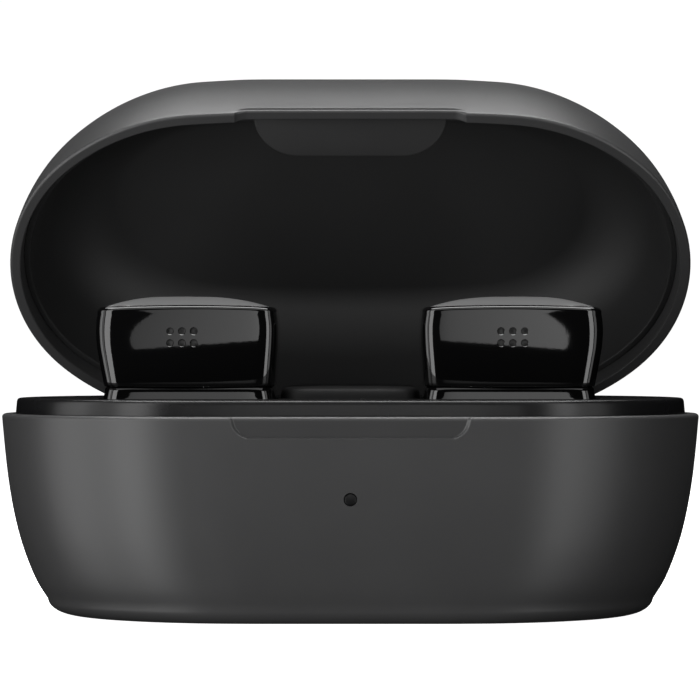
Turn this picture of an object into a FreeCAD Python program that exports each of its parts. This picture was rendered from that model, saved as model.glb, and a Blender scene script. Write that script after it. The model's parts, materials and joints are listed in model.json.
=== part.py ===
import FreeCAD, Part

# Wireless earbuds case with two earbuds, lid open.
# Frame: X across the case (right is +X), -Y is the front, +Y is the hinge side,
# +Z up. The origin is the middle of the flat underside. Millimetres.
import math
import os
import re

from FreeCAD import Placement, Rotation, Vector

os.makedirs("parts", exist_ok=True)
doc = FreeCAD.newDocument("EarbudsCase")
sheet = doc.addObject("Spreadsheet::Sheet", "Dims")

# ---------------------------------------------------------------- dimensions
DIMS = [
    # overall oval, seen from above
    ("case_half_width", 35.0, "half the width at the rim"),
    ("case_half_depth", 18.584, "half the depth at the rim"),
    ("rim_height", 20.106, "height of the rim above the underside"),
    ("plan_mid_radius", 22.02, "radius of the middle arc of the oval"),
    ("plan_angle_one", 47.31, "normal angle where the end arc stops, degrees"),
    ("plan_angle_two", 85.88, "normal angle where the middle arc stops, degrees"),
    # base profile: inset of the wall at depths below the rim
    ("base_inset_a", 0.265, "3 mm below the rim"),
    ("base_inset_b", 0.586, "6 mm below"),
    ("base_inset_c", 1.051, "9 mm below"),
    ("base_inset_d", 1.726, "12 mm below"),
    ("base_inset_e", 2.726, "15 mm below"),
    ("base_inset_f", 3.624, "17 mm below"),
    ("base_inset_g", 4.588, "18.5 mm below"),
    ("base_foot_inset", 8.2, "edge of the flat underside"),
    ("base_front_share", 0.4, "front inset as a share of the side inset"),
    ("base_wall", 1.2, "wall of the base"),
    ("base_floor", 1.5, "floor of the base"),
    ("rim_round", 0.4, "rounding of both rims"),
    # lid profile: inset at heights above the rim, lid closed
    ("lid_inset_a", 0.213, "2 mm above the rim"),
    ("lid_inset_b", 0.527, "4 mm above"),
    ("lid_inset_c", 0.965, "6 mm above"),
    ("lid_inset_d", 1.584, "8 mm above"),
    ("lid_inset_e", 2.367, "10 mm above"),
    ("lid_inset_f", 3.359, "12 mm above"),
    ("lid_front_share", 0.758, "front inset as a share of the side inset"),
    ("lid_rise", 15.9, "height of the closed lid above the rim"),
    ("lid_wall", 1.15, "wall of the lid"),
    ("lid_open_angle", 59.0, "how far the lid stands open, degrees"),
    ("liner_rebate", 1.8, "liner edge above the rim"),
    ("liner_wall", 0.6, "wall of the liner"),
    # hinge
    ("hinge_back", 17.147, "hinge line behind the middle"),
    ("hinge_up", 19.533, "hinge line above the underside"),
    ("pin_radius", 0.6, "hinge pin"),
    ("pin_clear", 0.05, "running clearance of the pin in the lid knuckle"),
    ("knuckle_radius", 1.3, "outside of the knuckles"),
    ("knuckle_split", 8.0, "where the lid knuckle stops and the base ones start"),
    ("knuckle_end", 16.0, "outer end of the base knuckles"),
    ("groove_half", 22.0, "half the length of the hinge groove"),
    ("groove_radius", 1.9, "hinge groove in the base"),
    # finger scoop in the base and notch in the lid
    ("scoop_half", 11.7, "half width of the finger scoop"),
    ("scoop_low", 18.1, "bottom of the scoop"),
    ("scoop_deep", 0.5, "how far the scoop is set back"),
    ("notch_half", 11.1, "half width of the lid notch"),
    ("notch_high", 0.7, "height of the lid notch"),
    # cradle tray
    ("lip_top", 21.65, "top of the cradle"),
    ("lip_inset", 1.4, "cradle side wall behind the case outline"),
    ("deck_thick", 1.25, "cradle deck"),
    ("hump_top", 22.8, "bridge between the earbuds"),
    ("hump_half", 6.3, "half width of the bridge"),
    ("pocket_clear", 0.3, "room round an earbud in its pocket"),
    ("pocket_wall", 0.8, "pocket walls"),
    ("well_radius", 6.7, "round well for the ear tip"),
    ("well_floor", 6.9, "top of the well floor"),
    ("seat_floor", 16.6, "top of the pocket shoulder"),
    # earbuds
    ("bud_x", 15.9, "earbud middle from the case middle"),
    ("bud_y", -0.75, "earbud middle, front to back"),
    ("bud_width", 17.9, "earbud, widest"),
    ("bud_depth", 15.4, "earbud, front to back"),
    ("bud_low", 22.87, "lower edge of the outer shell"),
    ("bud_top", 30.65, "top edge of the outer shell"),
    ("bud_peak", 31.8, "top of the touch cap"),
    ("bud_wall", 0.9, "earbud shell wall"),
    ("bud_radius", 4.2, "upright corner radius"),
    ("mic_hole", 0.35, "radius of a microphone hole"),
    ("mic_pitch", 1.19, "spacing of the microphone holes"),
    ("mic_row_high", 28.4, "upper row"),
    ("mic_row_low", 27.2, "lower row"),
    ("nozzle_radius", 2.4, "sound nozzle"),
    ("nozzle_bore", 1.6, "sound bore"),
    ("nozzle_end", 9.0, "end of the nozzle"),
    ("neck_top", 17.3, "shoulder under the earbud"),
    ("tip_radius", 6.0, "silicone tip"),
    ("driver_radius", 4.8, "speaker driver"),
    ("driver_thick", 2.6, "speaker driver"),
    ("cell_radius", 6.0, "earbud button cell"),
    ("cell_thick", 4.8, "earbud button cell"),
    ("bud_board_wide", 12.6, "earbud circuit board"),
    ("bud_board_deep", 10.6, "earbud circuit board"),
    ("board_thick", 0.8, "circuit boards"),
    # charging and electronics
    ("pogo_radius", 0.45, "spring contact pin"),
    ("pogo_bore", 0.5, "bore of its housing"),
    ("pogo_tip", 17.15, "pin tip at rest"),
    ("pogo_travel", 0.5, "pin travel"),
    ("pogo_side", 6.0, "pins from the earbud middle, sideways"),
    ("pogo_back", 4.7, "pins from the earbud middle, backwards"),
    ("pogo_block", 2.4, "side of the contact housing"),
    ("battery_wide", 14.6, "case battery"),
    ("battery_long", 21.6, "case battery"),
    ("battery_thick", 8.0, "case battery"),
    ("main_board_wide", 36.0, "main board"),
    ("main_board_high", 13.6, "main board"),
    ("usb_wide", 8.94, "USB-C receptacle shell"),
    ("usb_high", 3.16, "USB-C receptacle shell"),
    ("usb_deep", 7.3, "USB-C receptacle shell"),
    ("usb_level", 6.8, "USB-C centre above the underside"),
    ("led_level", 12.15, "indicator above the underside"),
    ("led_radius", 0.62, "light pipe"),
    ("led_hole", 0.65, "hole for the light pipe"),
    ("magnet_wide", 4.0, "closure magnets"),
    ("magnet_thick", 1.6, "closure magnets"),
]
for row, (name, value, note) in enumerate(DIMS, 1):
    sheet.set("A%d" % row, note)
    sheet.set("B%d" % row, repr(value))
    sheet.setAlias("B%d" % row, name)
doc.recompute()
NAMES = [n for n, _, _ in DIMS]


def dim(name):
    return float(getattr(sheet, name))


def ref(expression):
    """The same expression with each dimension's name pointing at the sheet."""
    return re.sub(
        r"[a-z_]+", lambda m: "Dims." + m[0] if m[0] in NAMES else m[0], expression
    )


def bind(obj, prop, value):
    if isinstance(value, str):
        obj.setExpression(prop, ref(value))
    else:
        setattr(obj, prop, value)


def place(obj, x, y, z, rotation=None):
    """Position an object; each coordinate is a number or an expression."""
    obj.Placement = Placement(Vector(0, 0, 0), rotation or Rotation())
    for axis, value in zip("xyz", (x, y, z)):
        if isinstance(value, str):
            obj.setExpression("Placement.Base." + axis, ref(value))
        else:
            base = obj.Placement.Base
            setattr(base, axis, value)
            obj.Placement = Placement(base, obj.Placement.Rotation)
    return obj


def prim(kind, name, pos, rotation=None, **props):
    obj = doc.addObject("Part::" + kind, name)
    for prop, value in props.items():
        bind(obj, prop, value)
    return place(obj, *pos, rotation)


def cut(name, base, tool):
    obj = doc.addObject("Part::Cut", name)
    obj.Base, obj.Tool = base, tool
    return obj


def fuse(name, shapes):
    obj = doc.addObject("Part::MultiFuse", name)
    obj.Shapes = shapes
    return obj


nodes = []


def node(obj, label):
    obj.Label = label
    nodes.append((label, obj))
    return obj


def freeform(label, shape, placement=None):
    obj = doc.addObject("Part::Feature", label)
    obj.Shape = shape
    obj.Placement = placement or Placement()
    return node(obj, label)


# ------------------------------------------------- PartDesign helpers
def new_body(label):
    body = doc.addObject("PartDesign::Body", label)
    return node(body, label)


def new_sketch(body, name, role, offset=0):
    sketch = body.newObject("Sketcher::SketchObject", name)
    plane = [f for f in body.Origin.OriginFeatures if f.Role == role][0]
    sketch.AttachmentSupport = (plane, [""])
    sketch.MapMode = "FlatFace"
    if isinstance(offset, str):
        sketch.setExpression("AttachmentOffset.Base.z", ref(offset))
    else:
        sketch.AttachmentOffset = Placement(Vector(0, 0, offset), Rotation())
    return sketch


def circle(sketch, radius, x=0.0, y=0.0):
    """A circle whose radius follows the sheet, centred at a fixed point."""
    import Sketcher

    start = sketch.GeometryCount
    sketch.addGeometry(Part.Circle(Vector(x, y, 0), Vector(0, 0, 1), 1.0), False)
    sketch.addConstraint(Sketcher.Constraint("Radius", start, 1.0))
    sketch.setExpression(
        "Constraints[%d]" % (sketch.ConstraintCount - 1), ref(str(radius))
    )
    sketch.addConstraint(Sketcher.Constraint("DistanceX", -1, 1, start, 3, x))
    sketch.addConstraint(Sketcher.Constraint("DistanceY", -1, 1, start, 3, y))


def rectangle(sketch, wide, high, x="0", y="0"):
    """A rectangle centred at x, y with its size from the sheet."""
    import Sketcher

    n = sketch.GeometryCount
    pts = [Vector(-1, -1, 0), Vector(1, -1, 0), Vector(1, 1, 0), Vector(-1, 1, 0)]
    for i in range(4):
        sketch.addGeometry(Part.LineSegment(pts[i], pts[(i + 1) % 4]), False)
    for i in range(4):
        sketch.addConstraint(
            Sketcher.Constraint("Coincident", n + i, 2, n + (i + 1) % 4, 1)
        )
    for i in (0, 2):
        sketch.addConstraint(Sketcher.Constraint("Horizontal", n + i))
    for i in (1, 3):
        sketch.addConstraint(Sketcher.Constraint("Vertical", n + i))
    for kind, value in (
        ("DistanceX", "(%s)-(%s)/2" % (x, wide)),
        ("DistanceY", "(%s)-(%s)/2" % (y, high)),
    ):
        sketch.addConstraint(Sketcher.Constraint(kind, -1, 1, n, 1, -1.0))
        sketch.setExpression(
            "Constraints[%d]" % (sketch.ConstraintCount - 1), ref(value)
        )
    for edge, kind, value in ((n, "DistanceX", wide), (n + 1, "DistanceY", high)):
        sketch.addConstraint(Sketcher.Constraint(kind, edge, 1, edge, 2, 2.0))
        sketch.setExpression(
            "Constraints[%d]" % (sketch.ConstraintCount - 1), ref(str(value))
        )


def outline(sketch, points):
    """A closed polyline through fixed points."""
    import Sketcher

    n = sketch.GeometryCount
    vs = [Vector(x, y, 0) for x, y in points]
    for i in range(len(vs)):
        sketch.addGeometry(Part.LineSegment(vs[i], vs[(i + 1) % len(vs)]), False)
    for i in range(len(vs)):
        sketch.addConstraint(
            Sketcher.Constraint("Coincident", n + i, 2, n + (i + 1) % len(vs), 1)
        )
        sketch.addConstraint(Sketcher.Constraint("Block", n + i))


def pad(body, sketch, length, name="Pad", reverse=False, middle=False):
    feature = body.newObject("PartDesign::Pad", name)
    feature.Profile = sketch
    bind(feature, "Length", length)
    feature.Reversed = reverse
    if middle:
        feature.Midplane = True
    sketch.Visibility = False
    return feature


def pocket(body, sketch, length, name="Pocket", reverse=False, middle=False):
    doc.recompute()
    before = body.Shape.Volume
    feature = body.newObject("PartDesign::Pocket", name)
    feature.Profile = sketch
    bind(feature, "Length", length)
    feature.Reversed = reverse
    if middle:
        feature.Midplane = True
    doc.recompute()
    assert body.Shape.Volume < before - 1e-6, name
    return feature


# ------------------------------------------------- the oval and its lofts
HALF_W, HALF_D = dim("case_half_width"), dim("case_half_depth")
R_MID = dim("plan_mid_radius")
A1 = math.radians(dim("plan_angle_one"))
A2 = math.radians(dim("plan_angle_two"))
RIM = dim("rim_height")


def oval(side, front, z, scale=1.0):
    """The case outline drawn in by side and front, as eight tangent arcs."""
    a, b = HALF_W - side, HALF_D - front
    mid = 0.5 * (A1 + A2)
    r2 = R_MID - side * math.cos(mid) ** 2 - front * math.sin(mid) ** 2
    # the end and front radii follow from the half width and half depth
    m11, m12 = 1 - math.cos(A1), math.cos(A2)
    m21, m22 = math.sin(A1), 1 - math.sin(A2)
    q1 = a - r2 * (math.cos(A1) - math.cos(A2))
    q2 = b - r2 * (math.sin(A2) - math.sin(A1))
    det = m11 * m22 - m12 * m21
    r1 = (q1 * m22 - m12 * q2) / det
    r3 = (m11 * q2 - m21 * q1) / det
    assert min(r1, r2, r3) > 0.5, (side, front, r1, r2, r3)

    def at(g):
        x, y = a, 0.0
        for lo, hi, r in ((0, A1, r1), (A1, A2, r2), (A2, math.pi / 2, r3)):
            top = min(g, hi)
            if top <= lo:
                break
            y += r * (math.sin(top) - math.sin(lo))
            x -= r * (math.cos(lo) - math.cos(top))
        return x * scale, y * scale

    def point(g):
        """The outline at any normal angle, by symmetry."""
        g = g % (2 * math.pi)
        if g <= math.pi / 2:
            x, y = at(g)
        elif g <= math.pi:
            x, y = at(math.pi - g)
            x = -x
        elif g <= 1.5 * math.pi:
            x, y = at(g - math.pi)
            x, y = -x, -y
        else:
            x, y = at(2 * math.pi - g)
            y = -y
        return Vector(x, y, z)

    pi = math.pi
    stops = [-A1, A1, A2, pi - A2, pi - A1, pi + A1, pi + A2, 2 * pi - A2, 2 * pi - A1]
    edges = []
    for lo, hi in zip(stops[:-1], stops[1:]):
        edges.append(
            Part.Arc(point(lo), point((lo + hi) / 2), point(hi)).toShape()
        )
    return Part.Wire(edges)


def loft(wires, ruled=False):
    return Part.makeLoft(wires, True, ruled)


def slab(x0, x1, y0, y1, z0, z1):
    return Part.makeBox(x1 - x0, y1 - y0, z1 - z0, Vector(x0, y0, z0))


def rod(x0, x1, y, z, radius):
    """A cylinder lying along X."""
    return Part.makeCylinder(radius, x1 - x0, Vector(x0, y, z), Vector(1, 0, 0))


def rounded(cx, cy, wide, deep, radius, z):
    """A rounded rectangle as eight edges."""
    w, d, r = wide / 2, deep / 2, radius
    k = r * (1 - math.sqrt(0.5))
    p = [
        ((w - r, -d), None, (w, -d + r)),
        ((w, d - r), None, (w - r, d)),
        ((-w + r, d), None, (-w, d - r)),
        ((-w, -d + r), None, (-w + r, -d)),
    ]
    mids = [(w - k, -d + k), (w - k, d - k), (-w + k, d - k), (-w + k, -d + k)]
    edges = []
    for i in range(4):
        s, _, e = p[i]
        a = Vector(cx + s[0], cy + s[1], z)
        m = Vector(cx + mids[i][0], cy + mids[i][1], z)
        c = Vector(cx + e[0], cy + e[1], z)
        nxt = p[(i + 1) % 4][0]
        n = Vector(cx + nxt[0], cy + nxt[1], z)
        edges.append(Part.Arc(a, m, c).toShape())
        edges.append(Part.LineSegment(c, n).toShape())
    return Part.Wire(edges)


def check_solid(shape, count=1):
    shape = shape.removeSplitter()
    assert shape.isValid() and len(shape.Solids) == count, len(shape.Solids)
    return shape.Solids[0] if count == 1 else shape


# ------------------------------------------------------------ base shell
share = dim("base_front_share")
depths = [3, 6, 9, 12, 15, 17, 18.5]
insets = [dim("base_inset_" + c) for c in "abcdefg"]
outer_rows = [(0.0, 0.0)] + list(zip(depths, insets))
slope = 0.64
foot_r = RIM - 18.5
foot_rows = []
for t in (30, 60, 80, 90):
    t = math.radians(t)
    drop = foot_r * math.sin(t) ** 0.621
    extra = dim("base_foot_inset") - insets[-1] - slope * foot_r
    inset = insets[-1] + slope * foot_r * math.sin(t)
    inset += extra * (1 - max(math.cos(t), 0.0) ** 0.621)
    foot_rows.append((18.5 + drop, inset))
upper = loft([oval(i, share * i, RIM - d) for d, i in outer_rows])
foot = loft(
    [oval(i, share * i, RIM - d) for d, i in [outer_rows[-1]] + foot_rows[:-1]]
    + [oval(foot_rows[-1][1], share * foot_rows[-1][1], 0.0)],
    ruled=True,
)
outside = upper.fuse(foot)
rim_r = dim("rim_round")
wall = dim("base_wall")
inner_rows = [(RIM + 1.0, wall, wall)]
for d, i in outer_rows[1:-1]:
    inner_rows.append((RIM - d, i + wall, share * i + wall))
inner_rows.append((dim("base_floor"), insets[-1] + wall + 1.0, share * insets[-1] + wall + 1.0))
inside = loft([oval(s, f, z) for z, s, f in inner_rows])
base = outside.cut(inside)
# rounded outer edge of the rim
rim_cut = loft([oval(-1.0, -1.0, RIM - 0.42 * rim_r), oval(-1.0, -1.0, RIM + 1)]).cut(
    loft(
        [
            oval(0.0, 0.0, RIM - rim_r),
            oval(0.134 * rim_r, 0.134 * rim_r, RIM - 0.5 * rim_r),
            oval(0.5 * rim_r, 0.5 * rim_r, RIM - 0.134 * rim_r),
            oval(rim_r, rim_r, RIM),
            oval(rim_r, rim_r, RIM + 2),
        ],
        ruled=True,
    )
)
base = base.cut(rim_cut)
# hinge groove along the back edge
hy, hz = dim("hinge_back"), dim("hinge_up")
gh, gr = dim("groove_half"), dim("groove_radius")
base = base.cut(rod(-gh, gh, hy, hz, gr))
base = base.cut(slab(-gh, gh, hy - 1.9, HALF_D + 2, hz, RIM + 1))
# finger scoop below the front rim
sh, sl, sd = dim("scoop_half"), dim("scoop_low"), dim("scoop_deep")
r = 1.6
scoop_wire = Part.Wire(
    [
        Part.LineSegment(Vector(sh, 0, RIM + 1), Vector(sh, 0, sl + r)).toShape(),
        Part.Arc(
            Vector(sh, 0, sl + r),
            Vector(sh - r * (1 - math.sqrt(0.5)), 0, sl + r * (1 - math.sqrt(0.5))),
            Vector(sh - r, 0, sl),
        ).toShape(),
        Part.LineSegment(Vector(sh - r, 0, sl), Vector(-sh + r, 0, sl)).toShape(),
        Part.Arc(
            Vector(-sh + r, 0, sl),
            Vector(-sh + r * (1 - math.sqrt(0.5)), 0, sl + r * (1 - math.sqrt(0.5))),
            Vector(-sh, 0, sl + r),
        ).toShape(),
        Part.LineSegment(Vector(-sh, 0, sl + r), Vector(-sh, 0, RIM + 1)).toShape(),
        Part.LineSegment(Vector(-sh, 0, RIM + 1), Vector(sh, 0, RIM + 1)).toShape(),
    ]
)
scoop_wire.translate(Vector(0, -HALF_D + sd, 0))
base = base.cut(Part.Face(scoop_wire).extrude(Vector(0, -3, 0)))
# indicator hole and charging slot
base = base.cut(
    Part.makeCylinder(
        dim("led_hole"), 6, Vector(0, -HALF_D - 1, dim("led_level")), Vector(0, 1, 0)
    )
)
usb_w, usb_h = dim("usb_wide") + 0.2, dim("usb_high") + 0.2


def slot_prism(wide, high, radius, y0, y1, z):
    """A rounded slot running along Y."""
    wire = rounded(0, 0, wide, high, radius, 0)
    wire.rotate(Vector(0, 0, 0), Vector(1, 0, 0), 90)
    wire.translate(Vector(0, y0, z))
    return Part.Face(wire).extrude(Vector(0, y1 - y0, 0))


base = base.cut(
    slot_prism(usb_w, usb_h, usb_h / 2 - 0.02, HALF_D - 5, HALF_D + 1, dim("usb_level"))
)
freeform("base_shell", check_solid(base))

# ---------------------------------------------------------- cradle tray
li, lt = dim("lip_inset"), dim("lip_top")
tray = loft(
    [
        oval(li + 0.35, li + 0.12, 17.0),
        oval(li, li, RIM),
        oval(li + 0.12, li + 0.12, lt - 0.3),
        oval(li + 0.21, li + 0.21, lt - 0.09),
        oval(li + 0.42, li + 0.42, lt),
    ],
    ruled=True,
)
under = loft(
    [
        oval(li + 1.45, li + 1.22, 16.5),
        oval(li + 1.1, li + 1.1, RIM - 0.2),
        oval(li + 1.3, li + 1.3, lt - dim("deck_thick")),
    ],
    ruled=True,
)
tray = tray.cut(under)
# solid back block that carries the hinge trough
block = slab(-gh + 0.1, gh - 0.1, 13.4, 16.9, 17.0, lt - dim("deck_thick") + 0.1)
block = block.common(loft([oval(li + 0.35, li + 0.12, 16.9), oval(li, li, lt)], True))
tray = tray.fuse(block)
# bridge between the earbuds, over the battery and the hinge
hh, ht = dim("hump_half"), dim("hump_top")
hump = loft(
    [
        rounded(0, 4.35, 2 * hh, 21.3, 1.2, lt - 0.5),
        rounded(0, 4.35, 2 * hh, 21.3, 1.2, ht - 0.35),
        rounded(0, 4.35, 2 * hh - 0.3, 21.0, 1.1, ht - 0.1),
        rounded(0, 4.35, 2 * hh - 0.9, 20.4, 0.9, ht),
    ],
    ruled=True,
)
tray = tray.fuse(hump)
bx, by = dim("bud_x"), dim("bud_y")
bw, bd, br = dim("bud_width"), dim("bud_depth"), dim("bud_radius")
pc, pw = dim("pocket_clear"), dim("pocket_wall")
wr, wf, sf = dim("well_radius"), dim("well_floor"), dim("seat_floor")
for side in (-1, 1):
    cx = side * bx
    cup = loft(
        [
            rounded(cx, by, bw + 2 * pw - 0.2, bd + 2 * pw - 0.2, br, sf - pw),
            rounded(cx, by, bw + 2 * pw - 0.2, bd + 2 * pw - 0.2, br, lt - 0.3),
        ],
        ruled=True,
    )
    well = Part.makeCylinder(wr + pw, sf - wf + pw, Vector(cx, by, wf - pw))
    tray = tray.fuse(cup).fuse(well)
for side in (-1, 1):
    cx = side * bx
    hole = loft(
        [
            rounded(cx, by, bw - 1.3, bd - 1.3, br - 0.4, sf),
            rounded(cx, by, bw - 0.25, bd - 0.25, br, lt - 0.5),
            rounded(cx, by, bw + 0.05, bd + 0.05, br, lt + 2.5),
        ],
        ruled=True,
    )
    tray = tray.cut(hole)
    tray = tray.cut(Part.makeCylinder(wr, sf - wf + 1, Vector(cx, by, wf)))
    # square holes for the contact housings
    pb = dim("pogo_block")
    for s in (-1, 1):
        px = cx + s * dim("pogo_side")
        py = by + dim("pogo_back")
        tray = tray.cut(
            slab(px - pb / 2 - 0.03, px + pb / 2 + 0.03, py - pb / 2 - 0.03,
                 py + pb / 2 + 0.03, sf - 4, sf + 0.5)
        )
# hinge groove, then the two base knuckles and their webs
tray = tray.cut(rod(-gh, gh, hy, hz, gr + 0.05))
tray = tray.cut(slab(-gh, gh, hy - gr - 0.05, HALF_D + 1, hz, ht + 3))
kr, ks, ke = dim("knuckle_radius"), dim("knuckle_split"), dim("knuckle_end")
pr = dim("pin_radius")
for side in (-1, 1):
    x0, x1 = (ks, ke) if side > 0 else (-ke, -ks)
    knuckle = rod(x0, x1, hy, hz, kr)
    web = slab(x0, x1, hy - 2.2, hy - 0.2, hz - 2.3, hz)
    web = web.common(rod(x0, x1, hy, hz, 2.6))
    tray = tray.fuse(knuckle).fuse(web)
tray = tray.cut(rod(-ke - 1, ke + 1, hy, hz, pr))
freeform("cradle_tray", check_solid(tray))

# ------------------------------------------------------------ hinge pin
pin = new_body("hinge_pin")
pin_sketch = new_sketch(pin, "PinCircle", "YZ_Plane")
circle(pin_sketch, "pin_radius")
pad(pin, pin_sketch, "2 * knuckle_end + 0.8", "PinPad", middle=True)
place(pin, 0, "hinge_back", "hinge_up")

# ------------------------------------------------------------- lid shell
lshare = dim("lid_front_share")
lid_heights = [2, 4, 6, 8, 10, 12]
lid_rows = [(0.0, 0.0)] + list(
    zip(lid_heights, [dim("lid_inset_" + c) for c in "abcdef"])
)
rise = dim("lid_rise")
crown_rows = [(13.1, 4.05), (14.1, 5.0), (14.85, 6.3), (15.3, 8.0)]
lid_outer = loft(
    [oval(i, lshare * i, RIM + h) for h, i in lid_rows + crown_rows[:2]]
)
crown = loft(
    [oval(i, lshare * i, RIM + h) for h, i in crown_rows[1:]]
    + [
        oval(8.0, lshare * 8.0, RIM + 15.62, 0.82),
        oval(8.0, lshare * 8.0, RIM + 15.82, 0.58),
        oval(8.0, lshare * 8.0, RIM + rise, 0.3),
    ],
    ruled=True,
)
lid_out = lid_outer.fuse(crown)
lw = dim("lid_wall")


def lid_inner(extra, start, ceiling):
    """The lid's outline drawn in by extra, from start up to ceiling."""
    rows = [(h, i) for h, i in lid_rows + crown_rows[:2] if h > start + 0.5]
    first = [(RIM + start, extra + 0.01, extra + 0.01)]
    if start > 0:
        i = 0.19 if start < 2.5 else 0.5
        first = [(RIM + start, i + extra, lshare * i + extra)]
    out = first + [(RIM + h, i + extra, lshare * i + extra) for h, i in rows if h < ceiling - 2.2]
    h, i = ceiling - 1.2, 4.0 + 0.35 * (ceiling - 13.2)
    out.append((RIM + h, i + extra, lshare * i + extra))
    lower = loft([oval(s, f, z) for z, s, f in out])
    top = loft(
        [
            oval(i + extra, lshare * i + extra, RIM + h),
            oval(i + extra + 0.9, lshare * (i + 0.9) + extra, RIM + h + 0.75),
            oval(i + extra + 2.3, lshare * (i + 2.3) + extra, RIM + ceiling),
        ],
        ruled=True,
    )
    return lower.fuse(top)


lid = lid_out.cut(lid_inner(lw, -0.5, rise - 1.4))
lid_rim_cut = loft([oval(-1.0, -1.0, RIM - 1), oval(-1.0, -1.0, RIM + 0.42 * rim_r)]).cut(
    loft(
        [
            oval(rim_r, rim_r, RIM - 2),
            oval(rim_r, rim_r, RIM),
            oval(0.5 * rim_r, 0.5 * rim_r, RIM + 0.134 * rim_r),
            oval(0.134 * rim_r, 0.134 * rim_r, RIM + 0.5 * rim_r),
            oval(0.0, 0.0, RIM + rim_r),
        ],
        ruled=True,
    )
)
lid = lid.cut(lid_rim_cut)
# finger notch in the front edge, with rounded ends
nh, nt = dim("notch_half"), dim("notch_high")
r = 0.7
notch = Part.Wire(
    [
        Part.LineSegment(Vector(-nh - r, 0, RIM - 1), Vector(nh + r, 0, RIM - 1)).toShape(),
        Part.LineSegment(Vector(nh + r, 0, RIM - 1), Vector(nh + r, 0, RIM)).toShape(),
        Part.LineSegment(Vector(nh + r, 0, RIM), Vector(nh + 0.45, 0, RIM + 0.2)).toShape(),
        Part.LineSegment(Vector(nh + 0.45, 0, RIM + 0.2), Vector(nh - 0.2, 0, RIM + nt - 0.2)).toShape(),
        Part.LineSegment(Vector(nh - 0.2, 0, RIM + nt - 0.2), Vector(nh - r, 0, RIM + nt)).toShape(),
        Part.LineSegment(Vector(nh - r, 0, RIM + nt), Vector(-nh + r, 0, RIM + nt)).toShape(),
        Part.LineSegment(Vector(-nh + r, 0, RIM + nt), Vector(-nh + 0.2, 0, RIM + nt - 0.2)).toShape(),
        Part.LineSegment(Vector(-nh + 0.2, 0, RIM + nt - 0.2), Vector(-nh - 0.45, 0, RIM + 0.2)).toShape(),
        Part.LineSegment(Vector(-nh - 0.45, 0, RIM + 0.2), Vector(-nh - r, 0, RIM)).toShape(),
        Part.LineSegment(Vector(-nh - r, 0, RIM), Vector(-nh - r, 0, RIM - 1)).toShape(),
    ]
)
notch.translate(Vector(0, -HALF_D - 2, 0))
lid = lid.cut(Part.Face(notch).extrude(Vector(0, 5, 0)))
lid = lid.cut(rod(-gh, gh, hy, hz, 1.5))
lid = check_solid(lid)

# ------------------------------------------------------------- lid liner
rb, lin = dim("liner_rebate"), dim("liner_wall")
liner = lid_inner(lw + 0.05, rb, rise - 1.45).cut(
    lid_inner(lw + 0.05 + lin, rb - 0.6, rise - 1.45 - 0.8)
)
liner = liner.common(slab(-40, 40, -30, 30, RIM + rb, RIM + 30))
# D-shaped boss over the front magnets
pad_front, pad_back = -16.9, -12.4
boss = Part.Wire(
    [
        Part.LineSegment(Vector(-9.7, pad_front, 0), Vector(9.7, pad_front, 0)).toShape(),
        Part.Arc(Vector(9.7, pad_front, 0), Vector(8.44, -13.72, 0), Vector(5.4, pad_back, 0)).toShape(),
        Part.LineSegment(Vector(5.4, pad_back, 0), Vector(-5.4, pad_back, 0)).toShape(),
        Part.Arc(Vector(-5.4, pad_back, 0), Vector(-8.44, -13.72, 0), Vector(-9.7, pad_front, 0)).toShape(),
    ]
)
boss.translate(Vector(0, 0, RIM + rb + 0.05))
boss = Part.Face(boss).extrude(Vector(0, 0, 4.6))
boss = boss.common(lid_inner(lw + 0.05, rb, rise - 1.45))
liner = liner.fuse(boss)
mw, mt = dim("magnet_wide"), dim("magnet_thick")
for x in (-4.2, 4.2):
    liner = liner.cut(
        slab(x - mw / 2 - 0.03, x + mw / 2 + 0.03, -16.13, -14.77, RIM + rb + 0.8,
             RIM + rb + 0.8 + mt + 0.03)
    )
# centre knuckle and its arm up to the liner wall
arm = slab(-ks + 0.15, ks - 0.15, hy - 1.15, hy + 0.1, hz, RIM + rb + 0.6)
knuckle = rod(-ks + 0.15, ks - 0.15, hy, hz, kr)
liner = liner.cut(rod(-gh, -ks, hy, hz, 1.5)).cut(rod(ks, gh, hy, hz, 1.5))
liner = liner.fuse(arm).fuse(knuckle)
liner = liner.cut(rod(-30, 30, hy, hz, pr + dim("pin_clear")))
# keep clear of the lid shell
liner = liner.cut(lid)
solids = sorted(liner.Solids, key=lambda s: -s.Volume)
liner = check_solid(solids[0])

open_turn = Rotation(Vector(1, 0, 0), -dim("lid_open_angle"))
# the lid pieces are drawn shut and turned open about the hinge line
OPEN = Placement(
    Vector(0, hy, hz) - open_turn.multVec(Vector(0, hy, hz)), open_turn
)
freeform("lid_shell", lid, OPEN)
freeform("lid_liner", liner, OPEN)
blocks = [
    slab(x - mw / 2, x + mw / 2, -16.1, -14.8, RIM + rb + 0.8, RIM + rb + 0.8 + mt)
    for x in (-4.2, 4.2)
]
freeform("lid_closure_magnets", Part.makeCompound(blocks), OPEN)

# ------------------------------------------------- closure magnets, base
left = prim("Box", "MagnetBaseL", ("-4.2 - magnet_wide / 2", -15.7, "lip_top - deck_thick - magnet_thick"),
            Length="magnet_wide", Width=1.5, Height="magnet_thick")
right = prim("Box", "MagnetBaseR", ("4.2 - magnet_wide / 2", -15.7, "lip_top - deck_thick - magnet_thick"),
             Length="magnet_wide", Width=1.5, Height="magnet_thick")
pair = doc.addObject("Part::Compound", "base_closure_magnets")
pair.Links = [left, right]
node(pair, "base_closure_magnets")

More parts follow.
